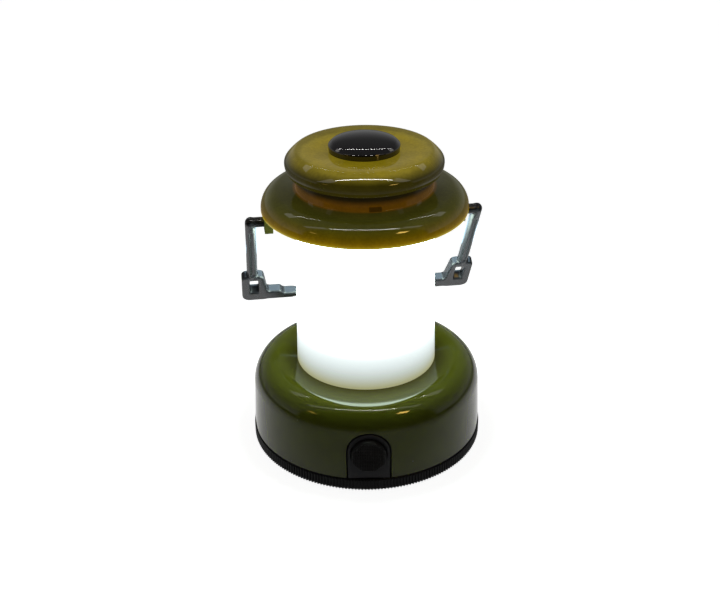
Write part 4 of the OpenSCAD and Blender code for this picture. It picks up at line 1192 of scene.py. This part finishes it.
        # Only the bail receives this light, so that the glossy base doesn't mirror it
        lit = bpy.data.collections.new("Lit by the bail fills")
        lit.objects.link(bpy.data.objects["bail_handle"])
        fill.light_linking.receiver_collection = lit
        self.panel("warm_lamp", [self.box(0.115, 0.165, -0.175, -0.14)], height, turn, (1, 0.62, 0.14), 16.0)
        self.panel("far_lamp", [self.box(-0.335, -0.285, -0.235, -0.18)], height, turn, (1, 0.6, 0.12), 4.0)

    def box(self, x0, x1, y0, y1):
        """Corners of a flat box."""
        return [(x0, y0), (x1, y0), (x1, y1), (x0, y1)]

    def panel(self, name, shapes, height, turn, tint, strength):
        """Flat shapes at one height that shine in gloss only, unseen by the camera."""
        points, faces = [], []
        for shape in shapes:
            faces.append(list(range(len(points), len(points) + len(shape))))
            points += [turn @ Vector((x, y, height)) for x, y in shape]
        lamp = make(name, points, faces)
        material = bpy.data.materials.new(name.replace("_", " ").capitalize())
        tree = empty_tree(material)
        lit = add(tree, "ShaderNodeEmission", {"Color": (*tint, 1), "Strength": strength})
        add(tree, "ShaderNodeOutputMaterial", {"Surface": lit.outputs[0]})
        lamp.data.materials.append(material)
        lamp.visible_camera = False
        lamp.visible_diffuse = False
        return lamp

    def camera(self, context, g, turn):
        """The camera at the photograph's viewing angle."""
        lens = bpy.data.cameras.new("camera")
        lens.lens = g.lens
        lens.sensor_width = 36
        lens.sensor_fit = "HORIZONTAL"
        lens.clip_start = 0.01
        camera = bpy.data.objects.new("camera", lens)
        context.scene.collection.objects.link(camera)
        ahead = Vector((0, math.cos(g.elevation), -math.sin(g.elevation)))
        right = Vector((1, 0, 0))
        up = right.cross(ahead)
        level = math.cos(g.roll) * right + math.sin(g.roll) * up
        upright = math.cos(g.roll) * up - math.sin(g.roll) * right
        spot = Vector((g.side, 0, g.aim)) - g.distance * ahead
        view = Matrix((level, upright, -ahead)).transposed().to_4x4()
        camera.matrix_world = turn @ Matrix.Translation(spot) @ view
        context.scene.camera = camera


OPERATORS = (
    LANTERN_OT_base, LANTERN_OT_cover, LANTERN_OT_switch, LANTERN_OT_globe, LANTERN_OT_roof, LANTERN_OT_cap,
    LANTERN_OT_bail, LANTERN_OT_inside, LANTERN_OT_stage)


class LANTERN_PT_panel(bpy.types.Panel):
    """Lists the lantern's pieces in the sidebar."""

    bl_idname = "LANTERN_PT_panel"
    bl_label = "Lantern"
    bl_space_type = "VIEW_3D"
    bl_region_type = "UI"
    bl_category = "Lantern"

    def draw(self, context):
        scene = context.scene
        for operator in OPERATORS:
            self.layout.operator(operator.bl_idname)
        for group in (scene.lantern_sizes, scene.lantern_colours, scene.lantern_stage):
            box = self.layout.box()
            for name in group.__annotations__:
                box.prop(group, name)


CLASSES = (LanternSizes, LanternColours, LanternStage, *OPERATORS, LANTERN_PT_panel)


def register():
    for item in CLASSES:
        bpy.utils.register_class(item)
    bpy.types.Scene.lantern_sizes = PointerProperty(type=LanternSizes)
    bpy.types.Scene.lantern_colours = PointerProperty(type=LanternColours)
    bpy.types.Scene.lantern_stage = PointerProperty(type=LanternStage)


def unregister():
    del bpy.types.Scene.lantern_stage
    del bpy.types.Scene.lantern_colours
    del bpy.types.Scene.lantern_sizes
    for item in reversed(CLASSES):
        bpy.utils.unregister_class(item)


def main():
    register()
    for operator in OPERATORS:
        family, name = operator.bl_idname.split(".")
        getattr(getattr(bpy.ops, family), name)()


if __name__ == "__main__":
    main()
